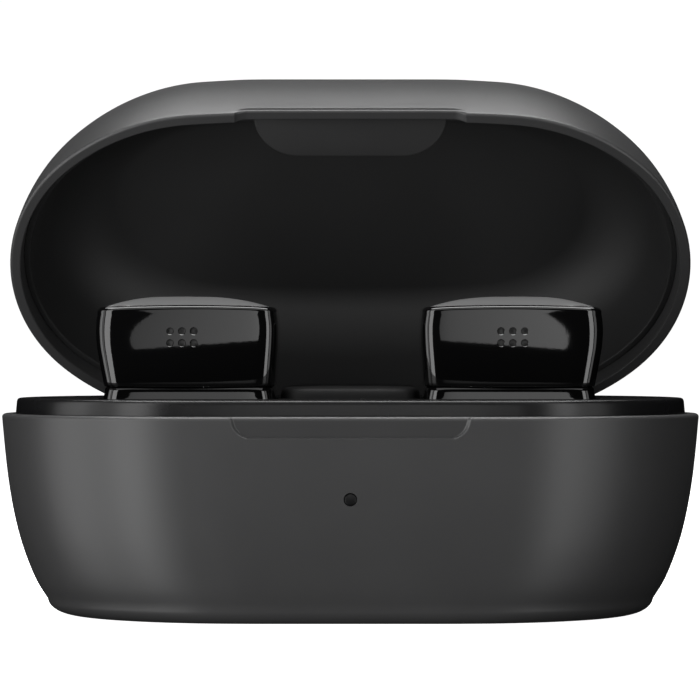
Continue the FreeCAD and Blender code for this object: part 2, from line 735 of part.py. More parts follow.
# ----------------------------------------------------------- electronics
can = prim("Box", "CellBlock", ("-battery_wide / 2", -13.2, 2.2),
           Length="battery_wide", Width="battery_long", Height="battery_thick")
doc.recompute()
battery = doc.addObject("Part::Fillet", "battery_cell")
battery.Base = can
battery.Edges = [
    (i + 1, 1.2, 1.2)
    for i, e in enumerate(can.Shape.Edges)
    if abs(e.tangentAt(e.FirstParameter).y) > 0.99
]
node(battery, "battery_cell")

main = new_body("main_board")
main_sketch = new_sketch(main, "BoardOutline", "XZ_Plane")
rectangle(main_sketch, "main_board_wide", "main_board_high")
pad(main, main_sketch, "board_thick", "BoardPad")
chips = new_sketch(main, "ChipOutline", "XZ_Plane")
rectangle(chips, 5.0, 5.0, "-10", "1")
rectangle(chips, 3.2, 3.2, "9", "2.5")
rectangle(chips, 2.0, 1.2, "14", "-2")
rectangle(chips, 2.6, 1.6, "-15", "-3")
pad(main, chips, 0.7, "ChipPad", reverse=True)
place(main, 0, 9.8, 9.4)

usb_board = new_body("usb_board")
usb_sketch = new_sketch(usb_board, "UsbBoardOutline", "XY_Plane")
rectangle(usb_sketch, 12.0, 5.6)
pad(usb_board, usb_sketch, "board_thick", "UsbBoardPad")
place(usb_board, 0, 13.2, "usb_level - usb_high / 2 - board_thick")

usb = new_body("usb_c_port")


def stadium(wide, high, steps=8):
    """Corner points of a slot with round ends."""
    r, k = high / 2, wide / 2 - high / 2
    out = []
    for side, start in ((1, -90), (-1, 90)):
        for i in range(steps + 1):
            t = math.radians(start + 180.0 * i / steps)
            out.append((side * k + r * math.cos(t), r * math.sin(t)))
    return out


shell_sketch = new_sketch(usb, "UsbShell", "XZ_Plane")
outline(shell_sketch, stadium(dim("usb_wide"), dim("usb_high")))
pad(usb, shell_sketch, "usb_deep", "UsbPad")
mouth = new_sketch(usb, "UsbMouth", "XZ_Plane")
outline(mouth, stadium(dim("usb_wide") - 0.6, dim("usb_high") - 0.6))
doc.recompute()
before = usb.Shape.Volume
hollow = usb.newObject("PartDesign::Pocket", "UsbPocket")
hollow.Profile = mouth
bind(hollow, "Length", "usb_deep - 1")
doc.recompute()
if not usb.Shape.Volume < before - 1:
    hollow.Reversed = True
    doc.recompute()
assert usb.Shape.Volume < before - 1
tongue = new_sketch(usb, "UsbTongue", "XZ_Plane")
rectangle(tongue, "usb_wide - 2.3", 0.7)
pad(usb, tongue, "usb_deep - 0.4", "UsbTonguePad")
doc.recompute()
box = usb.Shape.BoundBox
centre = usb.Shape.Solids[0].CenterOfMass
usb_front = 17.55
turn_round = Rotation()
# the closed back lies away from the sketch plane; the mouth faces +Y
if centre.y > (box.YMin + box.YMax) / 2:
    turn_round = Rotation(Vector(0, 0, 1), 180)
    usb_front += box.YMin
else:
    usb_front -= box.YMax
place(usb, 0, usb_front, "usb_level", turn_round)

led_board = prim("Box", "led_board", (-2.5, -14.8, "led_level - 2.6"), Length=5.0,
                 Width="board_thick", Height=5.2)
node(led_board, "led_board")
light = new_body("light_pipe")
light_sketch = new_sketch(light, "LightCircle", "XZ_Plane")
circle(light_sketch, "led_radius")
pad(light, light_sketch, 3.1, "LightPad", middle=True)
place(light, 0, -16.6, "led_level")

flex = new_body("led_flex")
flex_sketch = new_sketch(flex, "FlexProfile", "YZ_Plane")
# down from the indicator board, along the floor, up to the main board
path = [(-14.35, 9.5), (-14.35, 2.3), (-13.8, 1.78), (8.2, 1.78), (8.75, 2.3), (8.75, 3.6)]
back = [(8.63, 3.6), (8.63, 2.36), (8.15, 1.92), (-13.75, 1.92), (-14.23, 2.36), (-14.23, 9.5)]
outline(flex_sketch, path + back)
pad(flex, flex_sketch, 4.0, "FlexPad", middle=True)

# --------------------------------------------- contacts, cradle magnets
for side, word in ((-1, "left"), (1, "right")):
    housings, pins = [], []
    for s in (-1, 1):
        tag = word.title() + ("In" if s * side < 0 else "Out")
        cx = "%d * bud_x + %d * pogo_side" % (side, s)
        cy = "bud_y + pogo_back"
        block_ = prim("Box", "PogoBlock" + tag, (cx + " - pogo_block / 2", cy + " - pogo_block / 2", "seat_floor - 3.4"),
                      Length="pogo_block", Width="pogo_block", Height=3.4)
        bore = prim("Cylinder", "PogoBore" + tag, (cx, cy, "seat_floor - 2.9"), Radius="pogo_bore", Height=4.0)
        housings.append(cut("PogoHousing" + tag, block_, bore))
        pins.append(prim("Cylinder", "PogoPin" + tag, (cx, cy, "pogo_tip - 2.6"), Radius="pogo_radius", Height=2.6))
    group = doc.addObject("Part::Compound", "pogo_housings_" + word)
    group.Links = housings
    node(group, "pogo_housings_" + word)
    group = doc.addObject("Part::Compound", "pogo_pins_" + word)
    group.Links = pins
    node(group, "pogo_pins_" + word)
    magnet = prim("Box", "cradle_magnet_" + word, ("%d * bud_x - 2.5" % side, -11.6, 12.0), Length=5.0, Width=1.8, Height=4.0)
    node(magnet, "cradle_magnet_" + word)

# ---------------------------------------------------------------- earbuds
blo, bto, bpk, bwl = dim("bud_low"), dim("bud_top"), dim("bud_peak"), dim("bud_wall")


def bud_rows(side, rows, draw_in=0.0):
    """Rounded rectangles up the outer shell; the outboard side leans out."""
    cx = side * bx
    return [
        rounded(cx + side * shift, by, w - 2 * draw_in, d - 2 * draw_in, r - draw_in * 0.8, z)
        for z, w, shift, d, r in rows
    ]


for side, word in ((-1, "left"), (1, "right")):
    cx = side * bx
    # outer shell: a deep band with a rounded top edge, open above and below
    # each row is height, width, sideways shift outwards, depth, corner radius
    low = [
        (24.0, bw - 0.78, -0.09, bd - 0.68, br),
        (25.0, bw - 0.5, -0.05, bd - 0.45, br),
        (26.0, bw - 0.29, -0.02, bd - 0.27, br),
        (27.0, bw - 0.12, 0.0, bd - 0.12, br),
        (28.65, bw, 0.0, bd, br),
        (29.8, bw - 0.15, 0.0, bd - 0.15, br),
    ]
    outer_rows_ = [(blo, bw - 1.05, -0.13, bd - 0.9, br)] + low + [
        (bto - 0.5, bw - 0.25, 0.0, bd - 0.25, br - 0.05),
        (bto - 0.25, bw - 0.45, 0.0, bd - 0.45, br - 0.15),
        (bto - 0.08, bw - 0.75, 0.0, bd - 0.75, br - 0.3),
        (bto, bw - 1.1, 0.0, bd - 1.1, br - 0.45),
    ]
    inner_rows_ = [(blo - 0.5, bw - 1.15, -0.15, bd - 1.0, br)] + low + [
        (bto + 0.5, bw - 0.3, 0.0, bd - 0.3, br),
    ]
    shell = loft(bud_rows(side, outer_rows_), True).cut(
        loft(bud_rows(side, inner_rows_, bwl), True)
    )
    # microphone holes, three by two, through the front wall
    off = -0.7 if side < 0 else 0.1
    for i in (-1, 0, 1):
        for z in (dim("mic_row_high"), dim("mic_row_low")):
            shell = shell.cut(
                Part.makeCylinder(
                    dim("mic_hole"), 3.0,
                    Vector(cx + off + i * dim("mic_pitch"), by - bd / 2 - 1.5, z),
                    Vector(0, 1, 0),
                )
            )
    freeform("earbud_%s_outer_shell" % word, check_solid(shell))

    # domed touch cap, a little higher on its outboard half
    cap = loft(
        [
            rounded(cx, by, bw - 0.5 - 2 * bwl, bd - 0.5 - 2 * bwl, br - 0.85, bto - 0.75),
            rounded(cx, by, bw - 0.5 - 2 * bwl, bd - 0.5 - 2 * bwl, br - 0.85, bto + 0.05),
            rounded(cx + side * 0.15, by, bw - 3.4, bd - 3.4, br - 1.1, bto + 0.45),
            rounded(cx + side * 0.4, by, bw - 6.2, bd - 5.8, br - 1.7, bto + 0.8),
            rounded(cx + side * 0.7, by, bw - 10.2, bd - 9.0, br - 2.2, bpk - 0.1),
            rounded(cx + side * 0.95, by, bw - 14.6, bd - 12.6, 1.1, bpk),
        ],
        ruled=True,
    )
    freeform("earbud_%s_touch_cap" % word, check_solid(cap))

    # inner housing: collar, shoulder, neck and nozzle
    nr, nb, ne, nt_ = dim("nozzle_radius"), dim("nozzle_bore"), dim("nozzle_end"), dim("neck_top")
    collar = loft(
        [
            rounded(cx, by, bw - 2.2, bd - 2.4, br - 0.6, nt_),
            rounded(cx, by, bw - 1.1, bd - 1.1, br - 0.3, 19.6),
            rounded(cx, by, bw - 0.75, bd - 0.75, br - 0.2, 21.5),
            rounded(cx - side * 0.13, by, bw - 1.15, bd - 1.0, br - 0.2, blo - 0.02),
        ],
        ruled=True,
    )
    neck = Part.makeCone(nr + 0.1, 4.4, 3.2, Vector(cx, by, nt_ - 3.2))
    nozzle = Part.makeCylinder(nr, nt_ - ne, Vector(cx, by, ne))
    room = loft(
        [
            rounded(cx, by, bw - 4.0, bd - 4.2, br - 1.2, nt_ + 0.8),
            rounded(cx, by, bw - 2.9, bd - 2.9, br - 1.0, 19.6),
            rounded(cx, by, bw - 2.7, bd - 2.7, br - 0.9, blo + 0.5),
        ],
        ruled=True,
    )
    housing = collar.fuse(neck).fuse(nozzle).cut(room)
    housing = housing.cut(Part.makeCylinder(nb, 12, Vector(cx, by, ne - 1)))
    housing = housing.cut(Part.makeCylinder(nr - 0.3, 0.6, Vector(cx, by, ne - 0.3)))
    for s in (-1, 1):
        housing = housing.cut(
            Part.makeCylinder(1.0, 0.3, Vector(cx + s * dim("pogo_side"), by + dim("pogo_back"), nt_ - 0.1))
        )
    freeform("earbud_%s_inner_housing" % word, check_solid(housing))

    # charging contacts let into the shoulder
    pads_ = []
    for s in (-1, 1):
        pads_.append(
            prim("Cylinder", "Contact%s%d" % (word.title(), s + 1),
                 ("%d * bud_x + %d * pogo_side" % (side, s), "bud_y + pogo_back", "neck_top"),
                 Radius=1.0, Height=0.2)
        )
    group = doc.addObject("Part::Compound", "earbud_%s_contacts" % word)
    group.Links = pads_
    node(group, "earbud_%s_contacts" % word)

    # silicone tip: a sleeve on the nozzle with a soft umbrella
    tip = new_body("earbud_%s_ear_tip" % word)
    profile = new_sketch(tip, "TipProfile" + word.title(), "XZ_Plane")
    outline(
        profile,
        [
            (2.42, 8.2), (2.7, 7.75), (3.4, 7.75), (4.3, 8.25), (5.1, 9.1),
            (5.7, 10.2), (5.95, 11.4), (6.0, 12.4), (5.75, 12.75), (5.45, 12.5),
            (5.3, 11.4), (4.9, 10.3), (4.2, 9.5), (3.3, 9.2), (3.3, 12.9), (2.42, 12.9),
        ],
    )
    turn = tip.newObject("PartDesign::Revolution", "TipTurn" + word.title())
    turn.Profile = profile
    turn.ReferenceAxis = (profile, ["V_Axis"])
    turn.Angle = 360
    place(tip, "%d * bud_x" % side, "bud_y", 0)

    mesh = prim("Cylinder", "earbud_%s_nozzle_mesh" % word, ("%d * bud_x" % side, "bud_y", "nozzle_end"),
                Radius="nozzle_radius - 0.35", Height=0.25)
    node(mesh, "earbud_%s_nozzle_mesh" % word)

    driver = new_body("earbud_%s_speaker_driver" % word)
    lower = new_sketch(driver, "DriverBasket" + word.title(), "XY_Plane")
    circle(lower, "driver_radius")
    pad(driver, lower, "driver_thick - 0.9", "DriverPad" + word.title())
    upper_s = new_sketch(driver, "DriverMagnet" + word.title(), "XY_Plane", "driver_thick - 0.9")
    circle(upper_s, "driver_radius - 1.4")
    pad(driver, upper_s, 0.9, "DriverTop" + word.title())
    place(driver, "%d * bud_x" % side, "bud_y", "neck_top + 0.85")

    cell = prim("Cylinder", "earbud_%s_button_cell" % word, ("%d * bud_x" % side, "bud_y", 21.3),
                Radius="cell_radius - 0.2", Height="cell_thick")
    node(cell, "earbud_%s_button_cell" % word)

    board = new_body("earbud_%s_circuit_board" % word)
    board_sketch = new_sketch(board, "BudBoard" + word.title(), "XY_Plane")
    rectangle(board_sketch, "bud_board_wide", "bud_board_deep")
    pad(board, board_sketch, "board_thick", "BudBoardPad" + word.title())
    chip_sketch = new_sketch(board, "BudChip" + word.title(), "XY_Plane")
    rectangle(chip_sketch, 4.4, 4.4, "-2", "1")
    rectangle(chip_sketch, 2.4, 1.8, "3.4", "-2")
    pad(board, chip_sketch, 0.8, "BudChipPad" + word.title(), reverse=True)
    place(board, "%d * bud_x" % side, "bud_y", 27.6)

    mic = prim("Box", "earbud_%s_microphone_mesh" % word,
               ("%d * bud_x + %s - 2" % (side, off), "bud_y - bud_depth / 2 + bud_wall + 0.14", "mic_row_low - 0.5"),
               Length=4.0, Width=0.2, Height=2.2)
    node(mic, "earbud_%s_microphone_mesh" % word)

# --------------------------------------------------------- check and write
doc.recompute()
for obj in doc.Objects:
    bad = [s for s in obj.State if s in ("Invalid", "Error")]
    assert not bad, (obj.Name, obj.State)
assert len(nodes) == len({label for label, _ in nodes})
for label, obj in nodes:
    shape = obj.Shape
    assert not shape.isNull() and shape.isValid() and shape.Solids, label
for label, obj in nodes:
    shape = obj.Shape
    shape.exportStep("parts/%s.step" % label)
    box = shape.BoundBox
    print("%-34s solids %d volume %9.2f  x %.2f %.2f  y %.2f %.2f  z %.2f %.2f" % (
        label, len(shape.Solids), shape.Volume, box.XMin, box.XMax, box.YMin, box.YMax,
        box.ZMin, box.ZMax))
print(len(nodes), "nodes written")
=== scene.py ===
import json
import math

import bmesh
import bpy
from mathutils import Matrix, Vector

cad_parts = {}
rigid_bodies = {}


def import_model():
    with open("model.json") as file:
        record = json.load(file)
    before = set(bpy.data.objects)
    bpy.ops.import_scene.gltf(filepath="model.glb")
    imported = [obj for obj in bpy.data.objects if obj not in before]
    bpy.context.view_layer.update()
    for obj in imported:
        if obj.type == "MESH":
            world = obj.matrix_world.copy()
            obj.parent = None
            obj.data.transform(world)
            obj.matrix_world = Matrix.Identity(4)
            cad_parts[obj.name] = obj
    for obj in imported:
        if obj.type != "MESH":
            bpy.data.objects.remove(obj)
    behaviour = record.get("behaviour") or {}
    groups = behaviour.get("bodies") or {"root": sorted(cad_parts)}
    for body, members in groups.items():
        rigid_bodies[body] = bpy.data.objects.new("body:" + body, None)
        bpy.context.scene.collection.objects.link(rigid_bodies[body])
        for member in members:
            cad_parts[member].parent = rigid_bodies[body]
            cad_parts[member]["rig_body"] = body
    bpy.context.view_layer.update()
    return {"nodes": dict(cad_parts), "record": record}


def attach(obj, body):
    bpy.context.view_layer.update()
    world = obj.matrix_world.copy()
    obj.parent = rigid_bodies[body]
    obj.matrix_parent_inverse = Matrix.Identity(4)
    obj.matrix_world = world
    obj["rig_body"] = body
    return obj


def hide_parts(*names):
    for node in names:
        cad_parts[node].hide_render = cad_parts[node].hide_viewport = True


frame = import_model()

scene = bpy.context.scene
for o in list(bpy.data.objects):
    if o.name in ("Cube", "Light", "Camera") and "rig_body" not in o.keys():
        bpy.data.objects.remove(o)

MM = 0.001
HALF_W, HALF_D, RIM = 35.0, 18.584, 20.106
R_MID = 22.02
A1, A2 = math.radians(47.31), math.radians(85.88)
HINGE = Vector((0.0, 17.147, 19.533))
OPEN_TURN = Matrix.Rotation(math.radians(-59.0), 3, "X")


# ------------------------------------------------------------------ helpers
def smooth(a, b, t):
    t = max(0.0, min(1.0, (t - a) / (b - a)))
    return t * t * (3 - 2 * t)


def spline(xs, ys):
    """A smooth curve through the points, without overshoot."""
    n = len(xs)
    d = [(ys[i + 1] - ys[i]) / (xs[i + 1] - xs[i]) for i in range(n - 1)]
    m = [d[0]] + [0.0] * (n - 2) + [d[-1]]
    for i in range(1, n - 1):
        if d[i - 1] * d[i] > 0:
            h0, h1 = xs[i] - xs[i - 1], xs[i + 1] - xs[i]
            w0, w1 = 2 * h1 + h0, h1 + 2 * h0
            m[i] = (w0 + w1) / (w0 / d[i - 1] + w1 / d[i])

    def at(x):
        if x <= xs[0]:
            return ys[0] + m[0] * (x - xs[0])
        if x >= xs[-1]:
            return ys[-1] + m[-1] * (x - xs[-1])
        i = max(k for k in range(n - 1) if xs[k] <= x)
        h = xs[i + 1] - xs[i]
        t = (x - xs[i]) / h
        a = (1 + 2 * t) * (1 - t) ** 2
        b = t * (1 - t) ** 2
        c = t * t * (3 - 2 * t)
        e = t * t * (t - 1)
        return a * ys[i] + b * h * m[i] + c * ys[i + 1] + e * h * m[i + 1]

    return at


def steps(a, b, n):
    return [a + (b - a) * i / n for i in range(n + 1)]


# columns round the case: angle of the outward normal, from the front middle
def columns():
    half = []
    xs = steps(0, 9.0, 9) + steps(9.1, 12.5, 56) + steps(13.2, 16.2, 4)
    half += [math.asin(x / 226.7) for x in xs]
    half += steps(math.pi / 2 - A2, math.pi / 2 - A1, 22)
    half += steps(math.pi / 2 - A1, math.pi / 2, 24)[1:]
    half += steps(math.pi / 2, math.pi / 2 + A1, 24)[1:]
    half += steps(math.pi / 2 + A1, math.pi / 2 + A2, 22)[1:]
    half += [math.pi - math.asin(x / 226.7) for x in steps(15.5, 0, 16)]
    right = [-math.pi / 2 + d for d in half]
    left = [-math.pi / 2 - d for d in reversed(half[1:-1])]
    return right + left


COLS = columns()


def ring(side, front, z, scale=1.0, cols=COLS):
    """The case outline drawn in by side and front, at height z."""
    a, b = HALF_W - side, HALF_D - front
    mid = 0.5 * (A1 + A2)
    r2 = R_MID - side * math.cos(mid) ** 2 - front * math.sin(mid) ** 2
    m11, m12 = 1 - math.cos(A1), math.cos(A2)
    m21, m22 = math.sin(A1), 1 - math.sin(A2)
    q1 = a - r2 * (math.cos(A1) - math.cos(A2))
    q2 = b - r2 * (math.sin(A2) - math.sin(A1))
    det = m11 * m22 - m12 * m21
    r1 = (q1 * m22 - m12 * q2) / det
    r3 = (m11 * q2 - m21 * q1) / det

    def at(g):
        x, y = a, 0.0
        for low, high, r in ((0, A1, r1), (A1, A2, r2), (A2, math.pi / 2, r3)):
            top = min(g, high)
            if top <= low:
                break
            y += r * (math.sin(top) - math.sin(low))
            x -= r * (math.cos(low) - math.cos(top))
        return x, y

    out = []
    for g in cols:
        c, s = math.cos(g), math.sin(g)
        q = math.acos(max(-1.0, min(1.0, abs(c))))
        x, y = at(q)
        if s < 0 and x < 16.2:
            # the middle of the front is nearly flat
            t = max(0.0, (x - 8.0) / 8.2)
            y = min(y, b - 0.3 * (b / HALF_D) - 0.279 * t ** 2.1)
        out.append(
            Vector((math.copysign(x, c) * scale, math.copysign(y, s) * scale, z))
        )
    return out


def superring(cx, cy, a, b, n, z, count=160, a_in=None, b_back=None, sign=1):
    """A rounded rectangle as a superellipse; a is the outboard half width."""
    out = []
    for i in range(count):
        t = 2 * math.pi * i / count
        if n > 4.5:
            t += 0.17 * math.sin(4 * t)  # closer together in the corners
        c, s = math.cos(t), math.sin(t)
        rr = (abs(c) ** n + abs(s) ** n) ** (-1.0 / n)
        u, v = rr * c, rr * s
        wide = a if u > 0 else (a_in if a_in is not None else a)
        deep = b if v < 0 else (b_back if b_back is not None else b)
        out.append(Vector((cx + sign * u * wide, cy + v * deep, z)))
    return out


def circle_ring(cx, cy, r, z, count=64):
    return [
        Vector((cx + r * math.cos(2 * math.pi * i / count),
                cy + r * math.sin(2 * math.pi * i / count), z))
        for i in range(count)
    ]


def make(name, verts, faces, sharp=None, keep_normals=False):
    mesh = bpy.data.meshes.new(name)
    mesh.from_pydata([tuple(c * MM for c in v) for v in verts], [], faces)
    mesh.validate()
    bm = bmesh.new()
    bm.from_mesh(mesh)
    bmesh.ops.remove_doubles(bm, verts=bm.verts, dist=1e-8)
    if not keep_normals:
        bmesh.ops.recalc_face_normals(bm, faces=bm.faces)
    for f in bm.faces:
        f.smooth = True
    bm.to_mesh(mesh)
    bm.free()
    if sharp is not None:
        mesh.set_sharp_from_angle(angle=math.radians(sharp))
    obj = bpy.data.objects.new(name, mesh)
    scene.collection.objects.link(obj)
    return obj


def skin(name, rings, cap_first=True, cap_last=True, loop=False, sharp=None):
    """Quads between rings of equal length, closed at both ends."""
    n = len(rings[0])
    verts = [v for r in rings for v in r]
    faces = []
    count = len(rings)
    for k in range(count if loop else count - 1):
        a, b = k * n, ((k + 1) % count) * n
        for i in range(n):
            j = (i + 1) % n
            faces.append((a + i, a + j, b + j, b + i))
    if not loop:
        for k, want in ((0, cap_first), (count - 1, cap_last)):
            if want:
                base = k * n
                centre = sum((verts[base + i] for i in range(n)), Vector()) / n
                verts.append(centre)
                c = len(verts) - 1
                for i in range(n):
                    faces.append((base + i, base + (i + 1) % n, c))
    return make(name, verts, faces, sharp)


def apply_all(obj):
    """The modifiers become the mesh."""
    graph = bpy.context.evaluated_depsgraph_get()
    mesh = bpy.data.meshes.new_from_object(obj.evaluated_get(graph))
    obj.modifiers.clear()
    old = obj.data
    obj.data = mesh
    bpy.data.meshes.remove(old)
    return obj


def boolean(obj, tools, how="DIFFERENCE", sharp=32, keep_tools=False):
    for tool in tools:
        m = obj.modifiers.new("cut", "BOOLEAN")
        m.operation, m.object, m.solver = how, tool, "EXACT"
    bpy.context.view_layer.update()
    apply_all(obj)
    for tool in tools:
        if not keep_tools:
            bpy.data.objects.remove(tool)
    tidy(obj, sharp)
    return obj


def tidy(obj, sharp=32):
    bm = bmesh.new()
    bm.from_mesh(obj.data)
    bmesh.ops.remove_doubles(bm, verts=bm.verts, dist=1.5e-6)
    bmesh.ops.dissolve_degenerate(bm, edges=bm.edges, dist=1e-7)
    for f in bm.faces:
        f.smooth = True
    bm.to_mesh(obj.data)
    bm.free()
    if sharp is not None:
        obj.data.set_sharp_from_angle(angle=math.radians(sharp))
    m = obj.modifiers.new("normals", "WEIGHTED_NORMAL")
    m.keep_sharp = True
    m.weight = 60
    bpy.context.view_layer.update()
    apply_all(obj)
    return obj


def lathe(name, profile, at, axis="Z", segments=64, sharp=32, closed=False):
    """profile: (radius, along) pairs from one end to the other."""
    turn = {
        "Z": Matrix.Identity(3),
        "Y": Matrix(((1, 0, 0), (0, 0, 1), (0, -1, 0))),
        "X": Matrix(((0, 0, 1), (0, 1, 0), (-1, 0, 0))),
    }[axis]
    rings = []
    for r, h in profile:
        rings.append([
            turn @ Vector((max(r, 1e-4) * math.cos(2 * math.pi * i / segments),
                           max(r, 1e-4) * math.sin(2 * math.pi * i / segments), h))
            + Vector(at) for i in range(segments)
        ])
    return skin(name, rings, not closed, not closed, loop=closed, sharp=sharp)


def slab(name, x0, x1, y0, y1, z0, z1):
    v = [Vector((x, y, z)) for z in (z0, z1) for y in (y0, y1) for x in (x0, x1)]
    f = [(0, 2, 3, 1), (4, 5, 7, 6), (0, 1, 5, 4), (2, 6, 7, 3), (0, 4, 6, 2), (1, 3, 7, 5)]
    return make(name, v, f)


def prism_y(name, outline, y0, y1):
    """(x, z) outline swept straight along Y, the same outline at y0 and y1."""
    return skin(name, [[Vector((x, y, z)) for x, z in pts] for y, pts in ((y0, outline), (y1, outline))])


def turn_open(obj):
    """From the shut lid's place to the open one, about the hinge line."""
    m = obj.data
    for v in m.vertices:
        p = Vector(v.co) / MM
        v.co = (OPEN_TURN @ (p - HINGE) + HINGE) * MM
    m.update()
    return obj


PIECES = []


def finish_piece(obj, body, material, replaces=()):
    obj.data.materials.clear()
    obj.data.materials.append(material)
    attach(obj, body)
    if replaces:
        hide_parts(*replaces)
    PIECES.append(obj)
    return obj


# ---------------------------------------------------------------- materials
def node_tree(name):
    m = bpy.data.materials.new(name)
    m.use_nodes = True
    t = m.node_tree
    t.nodes.clear()
    out = t.nodes.new("ShaderNodeOutputMaterial")
    bsdf = t.nodes.new("ShaderNodeBsdfPrincipled")
    t.links.new(bsdf.outputs[0], out.inputs[0])
    return m, t, bsdf


def plastic(name, colour, roughness, grain=0.0, grain_mm=0.08, spread=0.0, tint=0.0,
            metallic=0.0, specular=0.5, coat=0.0, coat_rough=0.05, mottle_mm=6.0):
    """Moulded plastic: fine surface grain, slight changes of gloss and colour."""
    m, t, b = node_tree(name)
    n, l = t.nodes, t.links
    coord = n.new("ShaderNodeTexCoord")
    b.inputs["Metallic"].default_value = metallic
    b.inputs["Specular IOR Level"].default_value = specular
    if coat:
        b.inputs["Coat Weight"].default_value = coat
        b.inputs["Coat Roughness"].default_value = coat_rough
    mottle = n.new("ShaderNodeTexNoise")
    mottle.inputs["Scale"].default_value = 1000.0 / mottle_mm
    mottle.inputs["Detail"].default_value = 3.0
    l.new(coord.outputs["Object"], mottle.inputs["Vector"])
    fine = n.new("ShaderNodeTexNoise")
    fine.inputs["Scale"].default_value = 1000.0 / grain_mm
    fine.inputs["Detail"].default_value = 2.0
    l.new(coord.outputs["Object"], fine.inputs["Vector"])
    # colour: a little lighter and darker in patches and grains
    ramp = n.new("ShaderNodeMapRange")
    ramp.inputs["To Min"].default_value = 1 - tint
    ramp.inputs["To Max"].default_value = 1 + tint
    l.new(mottle.outputs["Fac"], ramp.inputs["Value"])
    mix = n.new("ShaderNodeMixRGB")
    mix.blend_type = "MULTIPLY"
    mix.inputs["Fac"].default_value = 1.0
    mix.inputs["Color1"].default_value = (*colour, 1)
    l.new(ramp.outputs["Result"], mix.inputs["Color2"])
    l.new(mix.outputs["Color"], b.inputs["Base Color"])
    rough = n.new("ShaderNodeMapRange")
    rough.inputs["To Min"].default_value = roughness - spread
    rough.inputs["To Max"].default_value = roughness + spread
    l.new(mottle.outputs["Fac"], rough.inputs["Value"])
    l.new(rough.outputs["Result"], b.inputs["Roughness"])
    if grain:
        bump = n.new("ShaderNodeBump")
        bump.inputs["Strength"].default_value = grain
        bump.inputs["Distance"].default_value = grain_mm * 0.12 * MM
        l.new(fine.outputs["Fac"], bump.inputs["Height"])
        l.new(bump.outputs["Normal"], b.inputs["Normal"])
    return m


def metal(name, colour, roughness, brushed=(1, 1, 1), streak_mm=0.3):
    m, t, b = node_tree(name)
    n, l = t.nodes, t.links
    coord = n.new("ShaderNodeTexCoord")
    mapping = n.new("ShaderNodeMapping")
    mapping.inputs["Scale"].default_value = brushed
    l.new(coord.outputs["Object"], mapping.inputs["Vector"])
    noise = n.new("ShaderNodeTexNoise")
    noise.inputs["Scale"].default_value = 1000.0 / streak_mm
    noise.inputs["Detail"].default_value = 4.0
    l.new(mapping.outputs["Vector"], noise.inputs["Vector"])
    b.inputs["Metallic"].default_value = 1.0
    ramp = n.new("ShaderNodeMapRange")
    ramp.inputs["To Min"].default_value = roughness * 0.75
    ramp.inputs["To Max"].default_value = roughness * 1.3
    l.new(noise.outputs["Fac"], ramp.inputs["Value"])
    l.new(ramp.outputs["Result"], b.inputs["Roughness"])
    tone = n.new("ShaderNodeMixRGB")
    tone.blend_type = "MIX"
    tone.inputs["Color1"].default_value = (*[c * 0.9 for c in colour], 1)
    tone.inputs["Color2"].default_value = (*colour, 1)
    l.new(noise.outputs["Fac"], tone.inputs["Fac"])
    l.new(tone.outputs["Color"], b.inputs["Base Color"])
    bump = n.new("ShaderNodeBump")
    bump.inputs["Strength"].default_value = 0.15
    bump.inputs["Distance"].default_value = 0.01 * MM
    l.new(noise.outputs["Fac"], bump.inputs["Height"])
    l.new(bump.outputs["Normal"], b.inputs["Normal"])
    return m


def board(name):
    """Green solder mask with copper traces showing through."""
    m, t, b = node_tree(name)
    n, l = t.nodes, t.links
    coord = n.new("ShaderNodeTexCoord")
    brick = n.new("ShaderNodeTexBrick")
    brick.inputs["Scale"].default_value = 700.0
    brick.inputs["Color1"].default_value = (0.006, 0.05, 0.022, 1)
    brick.inputs["Color2"].default_value = (0.008, 0.065, 0.028, 1)
    brick.inputs["Mortar"].default_value = (0.03, 0.14, 0.05, 1)
    brick.inputs["Mortar Size"].default_value = 0.02
    l.new(coord.outputs["Object"], brick.inputs["Vector"])
    l.new(brick.outputs["Color"], b.inputs["Base Color"])
    noise = n.new("ShaderNodeTexNoise")
    noise.inputs["Scale"].default_value = 900.0
    l.new(coord.outputs["Object"], noise.inputs["Vector"])
    ramp = n.new("ShaderNodeMapRange")
    ramp.inputs["To Min"].default_value = 0.3
    ramp.inputs["To Max"].default_value = 0.45
    l.new(noise.outputs["Fac"], ramp.inputs["Value"])
    l.new(ramp.outputs["Result"], b.inputs["Roughness"])
    bump = n.new("ShaderNodeBump")
    bump.inputs["Strength"].default_value = 0.3
    bump.inputs["Distance"].default_value = 0.02 * MM
    l.new(brick.outputs["Fac"], bump.inputs["Height"])
    l.new(bump.outputs["Normal"], b.inputs["Normal"])
    return m


